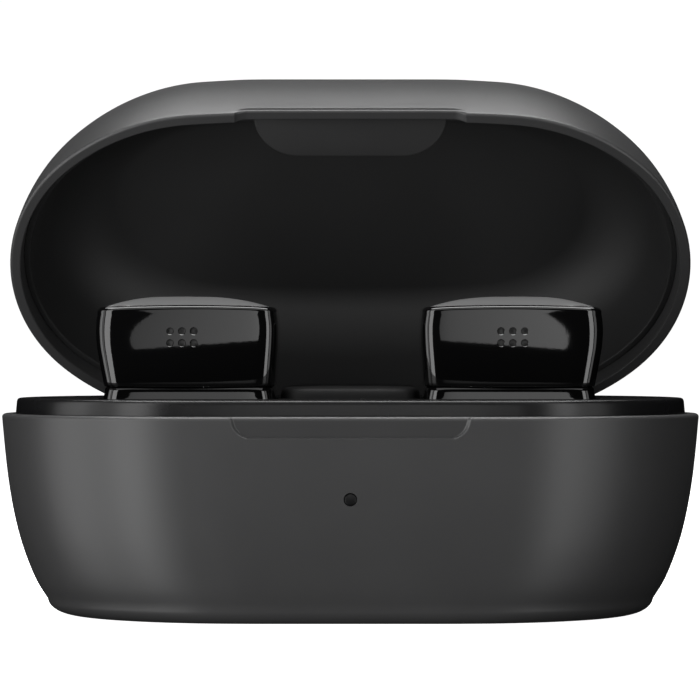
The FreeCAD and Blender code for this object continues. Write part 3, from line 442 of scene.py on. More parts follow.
def woven(name, colour, pitch_mm):
    """Fine woven wire."""
    m, t, b = node_tree(name)
    n, l = t.nodes, t.links
    coord = n.new("ShaderNodeTexCoord")
    waves = []
    for axis in ("X", "Z"):
        w = n.new("ShaderNodeTexWave")
        w.bands_direction = axis
        w.inputs["Scale"].default_value = 1000.0 / pitch_mm / 20.0 * 6.2832 / 6.2832
        w.inputs["Distortion"].default_value = 0.0
        l.new(coord.outputs["Object"], w.inputs["Vector"])
        waves.append(w)
    top = n.new("ShaderNodeMath")
    top.operation = "MAXIMUM"
    l.new(waves[0].outputs["Fac"], top.inputs[0])
    l.new(waves[1].outputs["Fac"], top.inputs[1])
    mix = n.new("ShaderNodeMixRGB")
    mix.inputs["Color1"].default_value = (*[c * 0.25 for c in colour], 1)
    mix.inputs["Color2"].default_value = (*colour, 1)
    l.new(top.outputs[0], mix.inputs["Fac"])
    l.new(mix.outputs["Color"], b.inputs["Base Color"])
    b.inputs["Metallic"].default_value = 0.6
    b.inputs["Roughness"].default_value = 0.5
    bump = n.new("ShaderNodeBump")
    bump.inputs["Strength"].default_value = 0.6
    bump.inputs["Distance"].default_value = pitch_mm * 0.2 * MM
    l.new(top.outputs[0], bump.inputs["Height"])
    l.new(bump.outputs["Normal"], b.inputs["Normal"])
    return m


M = {
    "case_plastic": plastic("case_plastic", (0.034, 0.034, 0.0345), 0.4, grain=0.35,
                            grain_mm=0.09, spread=0.02, tint=0.06),
    "tray_gloss": plastic("tray_gloss", (0.005, 0.005, 0.0053), 0.27, grain=0.05,
                          grain_mm=0.3, spread=0.015, tint=0.05, specular=0.32),
    "liner_matte": plastic("liner_matte", (0.013, 0.013, 0.0132), 0.55, grain=0.35,
                           grain_mm=0.1, spread=0.03, tint=0.06),
    "bud_gloss": plastic("bud_gloss", (0.0022, 0.0022, 0.0023), 0.045, grain=0.02,
                         grain_mm=0.5, spread=0.008, tint=0.05),
    "bud_satin": plastic("bud_satin", (0.14, 0.14, 0.141), 0.36, grain=0.3,
                         grain_mm=0.07, spread=0.02, tint=0.05),
    "liner_satin": plastic("liner_satin", (0.021, 0.021, 0.0212), 0.5, grain=0.3,
                           grain_mm=0.1, spread=0.03, tint=0.06),
    "bridge_matte": plastic("bridge_matte", (0.004, 0.004, 0.0041), 0.6, grain=0.3,
                            grain_mm=0.1, spread=0.03, tint=0.06, specular=0.2),
    "silicone": plastic("silicone", (0.02, 0.02, 0.021), 0.6, grain=0.3, grain_mm=0.12,
                        spread=0.04, tint=0.08, specular=0.35),
    "steel": metal("steel", (0.56, 0.56, 0.57), 0.25, (0.12, 1, 1)),
    "magnet": metal("magnet", (0.6, 0.6, 0.61), 0.2),
    "gold": metal("gold", (0.85, 0.62, 0.25), 0.22),
    "cell_foil": metal("cell_foil", (0.62, 0.62, 0.64), 0.35, (1, 0.15, 1), 0.8),
    "cell_steel": metal("cell_steel", (0.6, 0.6, 0.61), 0.3, (1, 1, 0.1)),
    "circuit_board": board("circuit_board"),
    "flex_film": plastic("flex_film", (0.22, 0.1, 0.025), 0.35, grain=0.2, grain_mm=0.4,
                         spread=0.05, tint=0.15),
    "light_pipe": plastic("light_pipe", (0.003, 0.003, 0.0032), 0.35, grain=0.1,
                          grain_mm=0.15, spread=0.03, tint=0.2, specular=0.3),
    "driver": plastic("driver", (0.03, 0.03, 0.032), 0.4, grain=0.3, grain_mm=0.1,
                      spread=0.04, tint=0.1),
    "mesh_dark": woven("mesh_dark", (0.07, 0.07, 0.07), 0.11),
}

# the carried-over CAD nodes get their slot's material
for part in frame["record"]["subparts"]:
    obj = frame["nodes"][part["node"]]
    obj.data.materials.clear()
    obj.data.materials.append(M[part["material_slot"]])


# --------------------------------------------------------------- base shell
base_inset = spline([0, 3, 6, 9, 12, 15, 17, 18.5], [0, 0.265, 0.586, 1.051, 1.726, 2.726, 3.624, 4.588])
SHARE = 0.4
WALL = 1.2
FOOT_R = RIM - 18.5


def scoop(p):
    """The shallow finger scoop under the front rim."""
    if p.y > 0 or abs(p.x) > 12.6 or p.z < 17.2:
        return p
    r = 1.3
    qx = r - (11.72 - 0.3 * (RIM - p.z) - abs(p.x))
    qz = 18.0 + r - p.z
    out = math.hypot(max(qx, 0.0), max(qz, 0.0))
    d = out + min(max(qx, qz), 0.0) - r
    wide = 0.11 + 0.3 * max(qx, 0.0) / (out + 1e-6) if out > 0 else 0.11
    deep = 0.44 - 0.1 * (p.z - 18.0)
    return p + Vector((0, deep * smooth(0.0, -wide, d), 0))


def base_rings():
    rings = []
    for s in (0.03, 0.25, 0.5, 0.75, 0.93, 0.985):
        rings.append(ring(8.2, SHARE * 8.2, 0.0, s))
    for k in range(18, -1, -1):
        t = math.radians(90.0 * k / 18)
        drop = FOOT_R * math.sin(t) ** 0.621
        extra = 8.2 - 4.588 - 0.64 * FOOT_R
        i = 4.588 + 0.64 * FOOT_R * math.sin(t) + extra * (1 - max(math.cos(t), 0.0) ** 0.621)
        rings.append(ring(i, SHARE * i, RIM - 18.5 - drop))
    d = 18.5
    depths = []
    while d > 3.0:
        d -= 0.5
        depths.append(d)
    depths += [2.75] + [2.6 - 0.08 * k for k in range(26)]
    rr = 0.4
    for d in depths:
        if d > rr + 0.05:
            i = base_inset(d)
            rings.append([scoop(p) for p in ring(i, SHARE * i, RIM - d)])
    for k in range(0, 10):
        f = math.radians(90.0 * k / 9)
        z = RIM - rr + rr * math.sin(f)
        i = base_inset(RIM - z) * (1 - k / 9.0)
        o = rr * (1 - math.cos(f))
        row = ring(i + o, SHARE * i + o, z)
        rings.append([scoop(p) for p in row])
    # rim face, fading the scoop out towards the inner wall
    for o in (0.5, 0.62, 0.8, 0.95, 1.04):
        row = []
        for p, q in zip(ring(o, o, RIM), ring(WALL - 0.16, WALL - 0.16, RIM)):
            s = scoop(p)
            keep = min(s.y, q.y) if p.y < 0 and abs(p.x) < 12.6 else s.y
            row.append(Vector((s.x, keep, s.z)))
        rings.append(row)
    for k in range(0, 5):
        f = math.radians(90.0 * k / 4)
        o = WALL - 0.15 + 0.15 * math.sin(f)
        rings.append(ring(o, o, RIM - 0.15 * (1 - math.cos(f))))
    for d in (0.6, 1.5, 3, 5, 7, 9, 11, 13, 15, 17):
        i = base_inset(d)
        rings.append(ring(i + WALL, SHARE * i + WALL, RIM - d))
    rings.append(ring(4.9 + WALL, SHARE * 4.588 + WALL + 0.5, 1.9))
    rings.append(ring(6.0 + WALL, SHARE * 4.588 + WALL + 1.2, 1.5))
    for s in (0.9, 0.6, 0.3, 0.03):
        rings.append(ring(6.0 + WALL, SHARE * 4.588 + WALL + 1.2, 1.5, s))
    return rings


base = skin("base_shell_look", base_rings())
tools = []
# hinge groove
GH, GR = 22.0, 1.9
tools.append(lathe("t_groove", [(GR, -GH), (GR, GH)], (0, HINGE.y, HINGE.z), "X", 96))
tools.append(slab("t_groove_top", -GH, GH, HINGE.y - 1.9, HALF_D + 2, HINGE.z, RIM + 1))
# indicator hole with a soft lip
surf = -(HALF_D - SHARE * base_inset(RIM - 12.15))
prof = [(0.65, 3.2), (0.65, 0.05), (0.7, 0.0), (0.9, -0.2)]
tools.append(lathe("t_led", prof, (0, surf, 12.15), "Y", 48))


def stadium(wide, high, steps_=14):
    r, k = high / 2, wide / 2 - high / 2
    out = []
    for side, start in ((1, -90), (-1, 90)):
        for i in range(steps_ + 1):
            t = math.radians(start + 180.0 * i / steps_)
            out.append((side * k + r * math.cos(t), r * math.sin(t)))
    return out


# charging slot with a soft lip, at the back
back_surf = HALF_D - SHARE * base_inset(RIM - 6.8)
slot_rows = []
for y, grow in ((back_surf - 4.5, 0.0), (back_surf - 0.42, 0.0), (back_surf - 0.3, 0.03),
                (back_surf - 0.18, 0.1), (back_surf - 0.08, 0.2), (back_surf + 0.0, 0.34), (back_surf + 0.8, 1.2)):
    slot_rows.append([Vector((x, y, z + 6.8)) for x, z in stadium(9.14 + 2 * grow, 3.36 + 2 * grow)])
tools.append(skin("t_usb", slot_rows))
boolean(base, tools)
finish_piece(base, "base", M["case_plastic"], ["base_shell"])

# indicator window: a rod with a slightly domed end
prof = [(0.02, -0.03)] + [(0.6 * math.sin(math.radians(a)), 0.045 - 0.075 * math.cos(math.radians(a))) for a in (15, 30, 45, 60, 75, 90)]
prof += [(0.6, 0.6), (0.6, 2.9), (0.02, 2.9)]
pipe = lathe("light_pipe_look", prof, (0, surf + 0.4, 12.15), "Y", 40)
finish_piece(pipe, "base", M["light_pipe"], ["light_pipe"])

# --------------------------------------------------------------- cradle tray
LI, LT = 1.4, 21.65
BX = {"left": -15.98, "right": 15.8}
BY = -0.75
BW, BD = 17.9, 15.4


def deck_rings():
    rings = []
    for s in (0.02, 0.4, 0.8):
        rings.append(ring(LI + 1.3, LI + 1.3, LT - 1.3, s))
    rings.append(ring(LI + 1.3, LI + 1.3, LT - 1.3))
    rings.append(ring(LI + 1.2, LI + 1.2, RIM - 0.2))
    rings.append(ring(LI + 1.45, LI + 1.22, 17.0))
    rings.append(ring(LI + 0.4, LI + 0.16, 17.0))
    for z in (17.6, 18.6, 19.4, RIM):
        k = (RIM - z) / 3.1
        rings.append(ring(LI + 0.35 * k, LI + 0.12 * k, z))
    rr = 0.32
    top = LT - rr
    for z in steps(RIM + 0.2, top, 5):
        k = (z - RIM) / (LT - RIM)
        rings.append(ring(LI + 0.14 * k, LI + 0.14 * k, z))
    for k in range(1, 9):
        f = math.radians(90.0 * k / 8)
        o = 0.13 + rr * (1 - math.cos(f))
        rings.append(ring(LI + o, LI + o, top + rr * math.sin(f)))
    for o in (0.6, 0.9, 1.4, 2.4, 3.8, 5.5):
        rings.append(ring(LI + o, LI + o, LT))
    for s in (0.8, 0.6, 0.4, 0.2, 0.02):
        rings.append(ring(LI + 5.5, LI + 5.5, LT, s))
    return rings


deck = skin("cradle_deck", deck_rings())
tools = [lathe("t_groove2", [(GR + 0.05, -GH), (GR + 0.05, GH)], (0, HINGE.y, HINGE.z), "X", 96),
         slab("t_groove2_top", -GH, GH, HINGE.y - GR - 0.05, HALF_D + 2, HINGE.z, LT + 2)]
for word, cx in BX.items():
    rows = []
    for z, grow in ((15.0, -0.08), (LT - 0.5, -0.08), (LT - 0.26, -0.05), (LT - 0.13, 0.02), (LT - 0.05, 0.12), (LT, 0.26), (LT + 1.2, 0.5)):
        rows.append(superring(cx, BY, BW / 2 + grow, BD / 2 + grow, 10.0, z, 240))
    tools.append(skin("t_pocket_" + word, rows))
boolean(deck, tools)
finish_piece(deck, "base", M["tray_gloss"], ["cradle_tray"])

# pocket and tip well of each earbud, one thin cup
for word, cx in BX.items():
    rows = []
    n = 160
    grow = -0.1

    def cup_ring(g, z, round_=0.0, r=0.0):
        a = superring(cx, BY, BW / 2 + g, BD / 2 + g, 10.0, z, n)
        if round_:
            c = superring(cx, BY, r, r, 2.0, z, n)
            a = [p.lerp(q, round_) for p, q in zip(a, c)]
        return a

    rows += [cup_ring(0, 6.1, 1.0, 0.05), cup_ring(0, 6.1, 1.0, 5.0), cup_ring(0, 6.2, 1.0, 7.1), cup_ring(0, 6.5, 1.0, 7.5)]
    rows += [cup_ring(0, 12.0, 1.0, 7.5), cup_ring(0, 15.4, 1.0, 7.5), cup_ring(0, 15.8, 1.0, 7.6)]
    rows += [cup_ring(0.4, 15.9), cup_ring(0.7, 16.3), cup_ring(0.7, 19.0), cup_ring(0.6, LT - 0.55)]
    rows += [cup_ring(0.0, LT - 0.55), cup_ring(grow, LT - 0.6), cup_ring(grow, 20.0), cup_ring(grow - 0.25, 18.0)]
    for k in range(0, 6):
        f = math.radians(90.0 * k / 5)
        rows.append(cup_ring(-0.5 - 0.5 * math.sin(f) ** 1.0, 17.1 - 0.5 * (1 - math.cos(f)) if k else 17.1))
    rows += [cup_ring(-1.1, 16.6), cup_ring(0, 16.6, 1.0, 7.0), cup_ring(0, 16.52, 1.0, 6.8), cup_ring(0, 16.35, 1.0, 6.7)]
    rows += [cup_ring(0, 12.0, 1.0, 6.7), cup_ring(0, 7.6, 1.0, 6.7), cup_ring(0, 7.1, 1.0, 6.5), cup_ring(0, 6.9, 1.0, 6.0), cup_ring(0, 6.9, 1.0, 0.05)]
    cup = skin("cradle_pocket_" + word, rows, sharp=40)
    # holes for the charging pins
    drill = []
    for s in (-6.0, 6.0):
        bx0 = math.copysign(15.9, cx) + s
        by0 = BY + 4.7
        drill.append(slab("t_pin", bx0 - 1.21, bx0 + 1.21, by0 - 1.21, by0 + 1.21, 12.0, 17.0))
    boolean(cup, drill, sharp=40)
    finish_piece(cup, "base", M["tray_gloss"])

# bridge between the earbuds
rows = []
hx, y0, y1 = 6.97, -6.35, 14.95
for z, g, crown in ((LT - 0.6, 0, 0), (LT + 0.05, 0, 0), (LT + 0.45, -0.02, 0), (LT + 0.75, -0.1, 0.1),
                    (LT + 0.93, -0.25, 0.3), (LT + 1.03, -0.48, 0.6), (LT + 1.08, -0.9, 0.8), (LT + 1.11, -1.8, 0.9), (LT + 1.14, -3.4, 1.0), (LT + 1.15, -5.2, 1.0)):
    rows.append(superring(0, (y0 + y1) / 2, hx + g, (y1 - y0) / 2 + g, 7.0 if g > -1 else 5.0, z, 200))
bridge = skin("cradle_bridge", rows)
tools = [lathe("t_groove3", [(GR + 0.05, -GH), (GR + 0.05, GH)], (0, HINGE.y, HINGE.z), "X", 96),
         slab("t_groove3_top", -GH, GH, HINGE.y - GR - 0.05, HALF_D + 2, HINGE.z, LT + 4)]
boolean(bridge, tools)
finish_piece(bridge, "base", M["bridge_matte"])

# base knuckles with their webs
for side, word in ((-1, "left"), (1, "right")):
    x0, x1 = (8.0, 16.0) if side > 0 else (-16.0, -8.0)
    prof = [(0.62, x0), (1.15, x0), (1.26, x0 + 0.04), (1.3, x0 + 0.14), (1.3, x1 - 0.14), (1.26, x1 - 0.04), (1.15, x1), (0.62, x1)]
    k = lathe("hinge_knuckle_" + word, prof, (0, HINGE.y, HINGE.z), "X", 64, closed=True)
    web = slab("t_web", x0 + 0.05, x1 - 0.05, HINGE.y - 2.15, HINGE.y - 0.85, HINGE.z - 1.4, HINGE.z - 0.05)
    m = k.modifiers.new("join", "BOOLEAN")
    m.operation, m.object, m.solver = "UNION", web, "EXACT"
    bpy.context.view_layer.update()
    apply_all(k)
    bpy.data.objects.remove(web)
    tidy(k)
    finish_piece(k, "base", M["liner_matte"])

# ----------------------------------------------------------------- lid shell
LSHARE = 0.758
lid_inset = spline([0, 2, 4, 6, 8, 10, 12, 13.1, 14.1, 14.85, 15.3],
                   [0, 0.213, 0.527, 0.965, 1.584, 2.367, 3.359, 4.05, 5.0, 6.3, 8.0])
crown = spline([0.0, 0.2, 0.4, 0.58, 0.7, 0.82, 0.93, 1.0], [15.9, 15.893, 15.868, 15.82, 15.76, 15.65, 15.47, 15.3])
LW = 1.15
NOTCH = 0.68


def notch(p, h):
    """Front rim raised by the finger notch; h is the height above the rim."""
    if p.y > 0 or abs(p.x) > 12.2 or h > 2.6:
        return p
    t = (11.64 - abs(p.x)) / 1.3
    if t <= 0:
        m = 0.0
    elif t >= 1:
        m = 1.0
    else:
        m = math.sin(math.pi / 2 * t) ** 0.8
    lift = NOTCH * m * max(0.0, 1 - h / 2.6)
    # small outer bevel along the notch
    inset = 0.14 * m * smooth(0.62, 0.44, h) if p.y < -HALF_D + 0.6 else 0.0
    return p + Vector((0, inset, lift))


def lid_rings():
    rings = []
    for s in (0.02, 0.1, 0.2, 0.3, 0.4, 0.5, 0.58, 0.66, 0.74, 0.82, 0.88, 0.93, 0.97):
        rings.append(ring(8.0, LSHARE * 8.0, RIM + crown(s), s))
    heights = [15.3, 15.2, 15.08, 14.95, 14.8, 14.6, 14.35, 14.1, 13.8, 13.5, 13.1]
    h = 13.1
    while h > 3.0:
        h -= 0.42
        heights.append(h)
    heights += [2.6, 2.3, 2.0, 1.7, 1.4, 1.2, 1.0, 0.9, 0.8] + [0.74 - 0.04 * k for k in range(8)]
    rr = 0.35
    for h in heights:
        if h > rr + 0.04:
            i = lid_inset(h)
            rings.append([notch(p, h) for p in ring(i, LSHARE * i, RIM + h)])
    for k in range(0, 9):
        f = math.radians(90.0 * k / 8)
        h = rr - rr * math.sin(f)
        i = lid_inset(h)
        o = rr * (1 - math.cos(f))
        rings.append([notch(p, h) for p in ring(i + o, LSHARE * i + o, RIM + h)])
    for o in (0.45, 0.6, 0.8, 0.95):
        rings.append([notch(p, 0.0) for p in ring(o, o, RIM)])
    for k in range(0, 6):
        f = math.radians(90.0 * k / 5)
        o = LW - 0.16 + 0.16 * math.sin(f)
        h = 0.16 * (1 - math.cos(f))
        rings.append([notch(p, h) for p in ring(o, o, RIM + h)])
    for h in (0.4, 0.8, 1.2, 1.6, 2.0, 2.6, 3.5, 5, 6.5, 8, 9.5, 11, 12):
        i = lid_inset(h)
        rings.append([notch(p, h) for p in ring(i + LW, LSHARE * i + LW, RIM + h)])
    rings.append(ring(lid_inset(13.1) + LW + 0.1, LSHARE * lid_inset(13.1) + LW + 0.1, RIM + 13.3))
    rings.append(ring(7.0 + LW, LSHARE * 7.0 + LW, RIM + 14.3))
    for s in (0.9, 0.6, 0.3, 0.03):
        rings.append(ring(7.0 + LW, LSHARE * 7.0 + LW, RIM + 14.5, s))
    return rings


lid = skin("lid_shell_look", lid_rings())
boolean(lid, [lathe("t_lidgroove", [(1.5, -GH), (1.5, GH)], (0, HINGE.y, HINGE.z), "X", 96)])
for v in lid.data.vertices:
    v.co.z += 0.07 * MM  # the hairline between the shut lid and the base
turn_open(lid)
finish_piece(lid, "lid", M["case_plastic"], ["lid_shell"])

# ----------------------------------------------------------------- lid liner
RB = 1.9


def liner_rings():
    rings = []
    ceiling = 13.65
    h0 = 8.0
    inner = []
    for k in range(0, 6):  # rounded lower edge
        f = math.radians(90.0 * k / 5)
        o = LW + 0.05 + 0.6 - 0.14 * (1 - math.sin(f))
        h = RB + 0.14 * (1 - math.cos(f)) if k else RB
        i = lid_inset(h)
        inner.append(ring(i + o, LSHARE * i + o, RIM + h))
    for h in (2.3, 2.7, 3.2, 4, 5, 6, 7):
        i = lid_inset(h)
        o = LW + 0.65
        inner.append(ring(i + o, LSHARE * i + o, RIM + h))
    for k in range(0, 17):
        f = math.radians(90.0 * k / 16)
        h = h0 + (ceiling - h0) * math.sin(f)
        i = lid_inset(h)
        e = 4.2 * (1 - math.cos(f))
        o = LW + 0.65
        inner.append(ring(i + o + e, LSHARE * i + o + 0.8 * e, RIM + h))
    last = lid_inset(ceiling) + LW + 0.65 + 4.2
    lastf = LSHARE * lid_inset(ceiling) + LW + 0.65 + 0.8 * 4.2
    for s in (0.85, 0.6, 0.35, 0.1, 0.02):
        inner.append(ring(last, lastf, RIM + ceiling + 0.12 * (1 - s * s), s))
    outer = [ring(last - 1.5, lastf - 1.0, RIM + ceiling + 0.75, s) for s in (0.02, 0.5, 0.97)]
    outer.append(ring(5.2 + LW, LSHARE * 5.0 + LW + 0.3, RIM + 13.6))
    for h in (12.6, 11, 9, 7, 5, 3, RB + 0.3, RB):
        i = lid_inset(h)
        o = LW + 0.05
        outer.append(ring(i + o, LSHARE * i + o, RIM + h))
    return outer + inner


liner = skin("lid_liner_look", liner_rings())
boolean(liner, [lathe("t_linergroove", [(1.6, -GH), (1.6, GH)], (0, HINGE.y, HINGE.z), "X", 96)])
turn_open(liner)
finish_piece(liner, "lid", M["liner_matte"], ["lid_liner"])

# lid knuckle with its arm
prof = [(0.66, -7.85), (1.15, -7.85), (1.26, -7.81), (1.3, -7.71), (1.3, 7.71), (1.26, 7.81), (1.15, 7.85), (0.66, 7.85)]
k = lathe("lid_knuckle", prof, (0, HINGE.y, HINGE.z), "X", 64, closed=True)
arm = slab("t_arm", -7.8, 7.8, HINGE.y - 1.1, HINGE.y - 0.3, HINGE.z + 0.8, RIM + RB + 1.2)
m = k.modifiers.new("join", "BOOLEAN")
m.operation, m.object, m.solver = "UNION", arm, "EXACT"
bpy.context.view_layer.update()
apply_all(k)
bpy.data.objects.remove(arm)
tidy(k)
turn_open(k)
finish_piece(k, "lid", M["liner_matte"])

# D-shaped cover over the lid magnets
outline = []
for i in range(0, 25):
    t = math.radians(90.0 * i / 24)
    outline.append((5.3 + 4.45 * math.cos(t), -16.9 + 4.5 * math.sin(t)))
outline = [(9.75, -17.1)] + outline
full = outline + [(-x, y) for x, y in reversed(outline)]
rows = []
for h, g in ((6.0, 0.0), (1.92, 0.0), (1.82, 0.02), (1.76, 0.07), (1.74, 0.14)):
    rows.append([Vector((x * (1 - g / 9.75), -17.1 + (y + 17.1) * (1 - g / 4.7), RIM + h)) for x, y in full])
pad_ = skin("lid_magnet_cover", rows, sharp=50)
turn_open(pad_)
finish_piece(pad_, "lid", M["liner_satin"])

# ------------------------------------------------------------------ earbuds
side_out = spline([22.87, 24.0, 25.5, 27.0, 28.65, 29.8, 30.2], [8.42, 8.64, 8.93, 9.18, 9.28, 9.22, 9.14])
side_in = spline([22.87, 24.0, 25.5, 27.0, 28.65, 29.8, 30.2], [8.5, 8.6, 8.72, 8.83, 8.88, 8.8, 8.72])


def face_lean(z, s):
    """How far the front face stands back at height z; s is outboard, -1 to 1."""
    u = z - 27.17
    return 0.024 * u + 0.0297 * (u * u / 2 + 0.72 * s * u)


def bud_ring(cx, sign, z, inset, n=12.0, count=320):
    zz = min(z, 30.2)
    out = superring(cx, BY, side_out(zz) - inset, BD / 2 - inset, n, z, count,
                    a_in=side_in(zz) - inset, b_back=BD / 2 - 0.1 - inset, sign=sign)
    res = []
    for p in out:
        s = (p.x - cx) * sign / 9.0
        front = smooth(0.1, 0.8, -(p.y - BY) / (BD / 2))
        back = smooth(0.1, 0.8, (p.y - BY) / (BD / 2))
        lean = (face_lean(min(z, 30.4), s) + 0.42 * s * s) * front
        lean_b = 0.022 * max(0.0, 28.0 - z) ** 1.5 * 0.3 * back
        droop = 0.22 * smooth(26.0, 30.4, z) * s * s
        res.append(Vector((p.x, p.y + lean - lean_b, z - droop)))
    return res


for word, cx in BX.items():
    sign = -1 if word == "left" else 1
    body = "earbud_" + word
    rows = []
    # outer wall from the lower edge up, over the rounded top edge, into the
    # groove round the cap, then down the inside
    for o, z in ((0.35, 22.87), (0.12, 22.88), (0.03, 22.93), (0.0, 23.02)):
        rows.append(bud_ring(cx, sign, z, o))
    rr = 0.5
    top = 30.92
    for z in steps(23.3, top - rr - 0.05, 26):
        rows.append(bud_ring(cx, sign, z, 0.0))
    for k in range(0, 11):
        f = math.radians(90.0 * k / 10)
        rows.append(bud_ring(cx, sign, top - rr + rr * math.sin(f), rr * (1 - math.cos(f))))
    rows += [bud_ring(cx, sign, top, 0.56), bud_ring(cx, sign, top - 0.03, 0.62), bud_ring(cx, sign, top - 0.13, 0.65),
             bud_ring(cx, sign, 30.3, 0.67), bud_ring(cx, sign, 30.1, 0.95)]
    for z in (29.0, 27.5, 26.0, 24.5, 23.2, 22.87):
        rows.append(bud_ring(cx, sign, z, 0.95))
    rows.append(bud_ring(cx, sign, 22.87, 0.6))
    shell = skin("earbud_%s_shell_look" % word, rows, loop=True)
    off = {"left": -0.62, "right": 0.2}[word]
    drills = []
    for i in (-1, 0, 1):
        for z in (28.36, 27.18):
            x = cx + off + i * 1.17
            y = BY - BD / 2 + face_lean(z, 0) + 0.02
            prof = [(0.34, 2.0), (0.34, 0.03), (0.37, 0.0), (0.57, -0.2)]
            drills.append(lathe("t_mic", prof, (x, y, z), "Y", 28))
    boolean(shell, drills, sharp=38)
    finish_piece(shell, body, M["bud_gloss"], ["earbud_%s_outer_shell" % word])

    # microphone mesh just inside the holes
    disks = []
    verts, faces = [], []
    for i in (-1, 0, 1):
        for z in (28.36, 27.18):
            x = cx + off + i * 1.17
            y = BY - BD / 2 + face_lean(z, 0) + 0.4
            start = len(verts)
            for yy in (y, y + 0.12):
                for a in range(24):
                    t = 2 * math.pi * a / 24
                    verts.append(Vector((x + 0.325 * math.cos(t), yy, z + 0.325 * math.sin(t))))
            for a in range(24):
                b_ = (a + 1) % 24
                faces.append((start + a, start + b_, start + 24 + b_, start + 24 + a))
            faces.append(tuple(start + a for a in range(24)))
            faces.append(tuple(start + 24 + a for a in reversed(range(24))))
    mesh_piece = make("earbud_%s_mic_mesh_look" % word, verts, faces, sharp=40)
    finish_piece(mesh_piece, body, M["mesh_dark"], ["earbud_%s_microphone_mesh" % word])

    # domed cap, its crown towards the outboard side
    rows = [bud_ring(cx, sign, 29.95, 1.4), bud_ring(cx, sign, 29.95, 0.98), bud_ring(cx, sign, 30.6, 0.8),
            bud_ring(cx, sign, 30.84, 0.8), bud_ring(cx, sign, 30.93, 0.84)]
    for k in range(1, 19):
        q = k / 18.0
        z = 30.94 + 0.84 * (1 - (1 - q) ** 2.0) - 0.2 * (1 - q) ** 3
        inset = 0.84 + q * 6.3
        shift = 0.75 * q ** 1.5 * sign
        nn = 12.0 * (1 - q) ** 2 + 2.4
        a_o, a_i, bb = side_out(30.2) - inset, side_in(30.2) - inset, BD / 2 - inset
        row = superring(cx + shift, BY + 0.15 * (1 - q), max(a_o, 0.3), max(bb, 0.2), nn, z, 320, a_in=max(a_i, 0.3), sign=sign)
        rows.append(row)
    last = rows[-1]
    c = sum(last, Vector()) / len(last)
    for s, up in ((0.6, 0.008), (0.3, 0.014), (0.05, 0.016)):
        rows.append([c + (p - c) * s + Vector((0, 0, up)) for p in last])
    rows.insert(0, [Vector((cx, BY, 29.95)) + (p - Vector((cx, BY, 29.95))) * 0.05 for p in rows[0]])
    cap = skin("earbud_%s_cap_look" % word, rows, sharp=50)
    finish_piece(cap, body, M["bud_satin"], ["earbud_%s_touch_cap" % word])

    # inner housing: collar, shoulder, neck, nozzle and its bore
    def round_ring(r, z, mixed=1.0, a=8.0, b=7.0, n=10.0):
        p = superring(cx, BY, a, b, n, z, 160)
        q = superring(cx, BY, r, r, 2.0, z, 160)
        return [u.lerp(v, mixed) for u, v in zip(p, q)]

    rows = [round_ring(0, 22.84, 0, 0.5, 0.5), round_ring(0, 22.86, 0, 7.6, 6.4), round_ring(0, 22.86, 0, 8.2, 7.0)]
    for z, a, b in ((22.7, 8.36, 7.14), (22.3, 8.4, 7.18), (21.8, 8.5, 7.28), (21.3, 8.56, 7.32), (20.5, 8.52, 7.28),
                    (19.5, 8.36, 7.12), (18.7, 8.12, 6.9), (18.1, 7.85, 6.62), (17.7, 7.5, 6.3), (17.45, 7.1, 5.9), (17.33, 6.6, 5.4), (17.3, 6.1, 4.9)):
        rows.append(round_ring(0, z, 0, a, b, 10.0))
    rows += [round_ring(4.9, 17.28, 0.6, 6.0, 4.8), round_ring(4.4, 17.15, 1.0), round_ring(4.05, 16.8, 1.0), round_ring(3.6, 16.1, 1.0),
             round_ring(3.1, 15.2, 1.0), round_ring(2.72, 14.4, 1.0), round_ring(2.5, 13.7, 1.0), round_ring(2.4, 13.2, 1.0), round_ring(2.4, 10.5, 1.0),
             round_ring(2.4, 9.25, 1.0), round_ring(2.33, 9.07, 1.0), round_ring(2.2, 9.0, 1.0), round_ring(2.1, 9.0, 1.0), round_ring(2.08, 9.06, 1.0),
             round_ring(2.08, 9.3, 1.0), round_ring(1.6, 9.32, 1.0), round_ring(1.6, 13.0, 1.0), round_ring(0.05, 13.1, 1.0)]
    housing = skin("earbud_%s_housing_look" % word, rows, sharp=45)
    finish_piece(housing, body, M["bud_gloss"], ["earbud_%s_inner_housing" % word])

    # silicone tip
    prof = [(2.42, 8.25), (2.5, 7.98), (2.72, 7.8), (3.1, 7.74), (3.6, 7.86), (4.3, 8.25), (5.0, 8.95), (5.5, 9.75), (5.85, 10.8), (5.98, 11.8),
            (6.0, 12.4), (5.96, 12.66), (5.82, 12.76), (5.66, 12.68), (5.58, 12.4), (5.5, 11.7), (5.25, 10.9), (4.85, 10.2), (4.3, 9.65), (3.7, 9.3),
            (3.4, 9.22), (3.3, 9.4), (3.3, 12.6), (3.22, 12.84), (3.0, 12.9), (2.6, 12.9), (2.45, 12.8), (2.42, 12.6)]
    tip = lathe("earbud_%s_tip_look" % word, prof, (cx, BY, 0), "Z", 72, sharp=60, closed=True)
    finish_piece(tip, body, M["silicone"], ["earbud_%s_ear_tip" % word])

# ------------------------------------------------------------ camera, lights
cam_data = bpy.data.cameras.new("camera")
cam_data.lens = 4016.533 * 36.0 / 700.0
cam_data.sensor_width = 36.0
cam_data.shift_x = -0.4 / 700.0
cam_data.clip_start, cam_data.clip_end = 0.01, 20.0
cam = bpy.data.objects.new("camera", cam_data)
cam.location = (0.0, -0.403863, 0.028828)
cam.rotation_euler = (math.radians(90.0 - 0.3395), 0.0, 0.0)
scene.collection.objects.link(cam)
scene.camera = cam


def aim(obj, at, target):
    obj.location = at
    d = Vector(target) - Vector(at)
    obj.rotation_mode = "QUATERNION"
    obj.rotation_quaternion = d.to_track_quat("-Z", "Y")


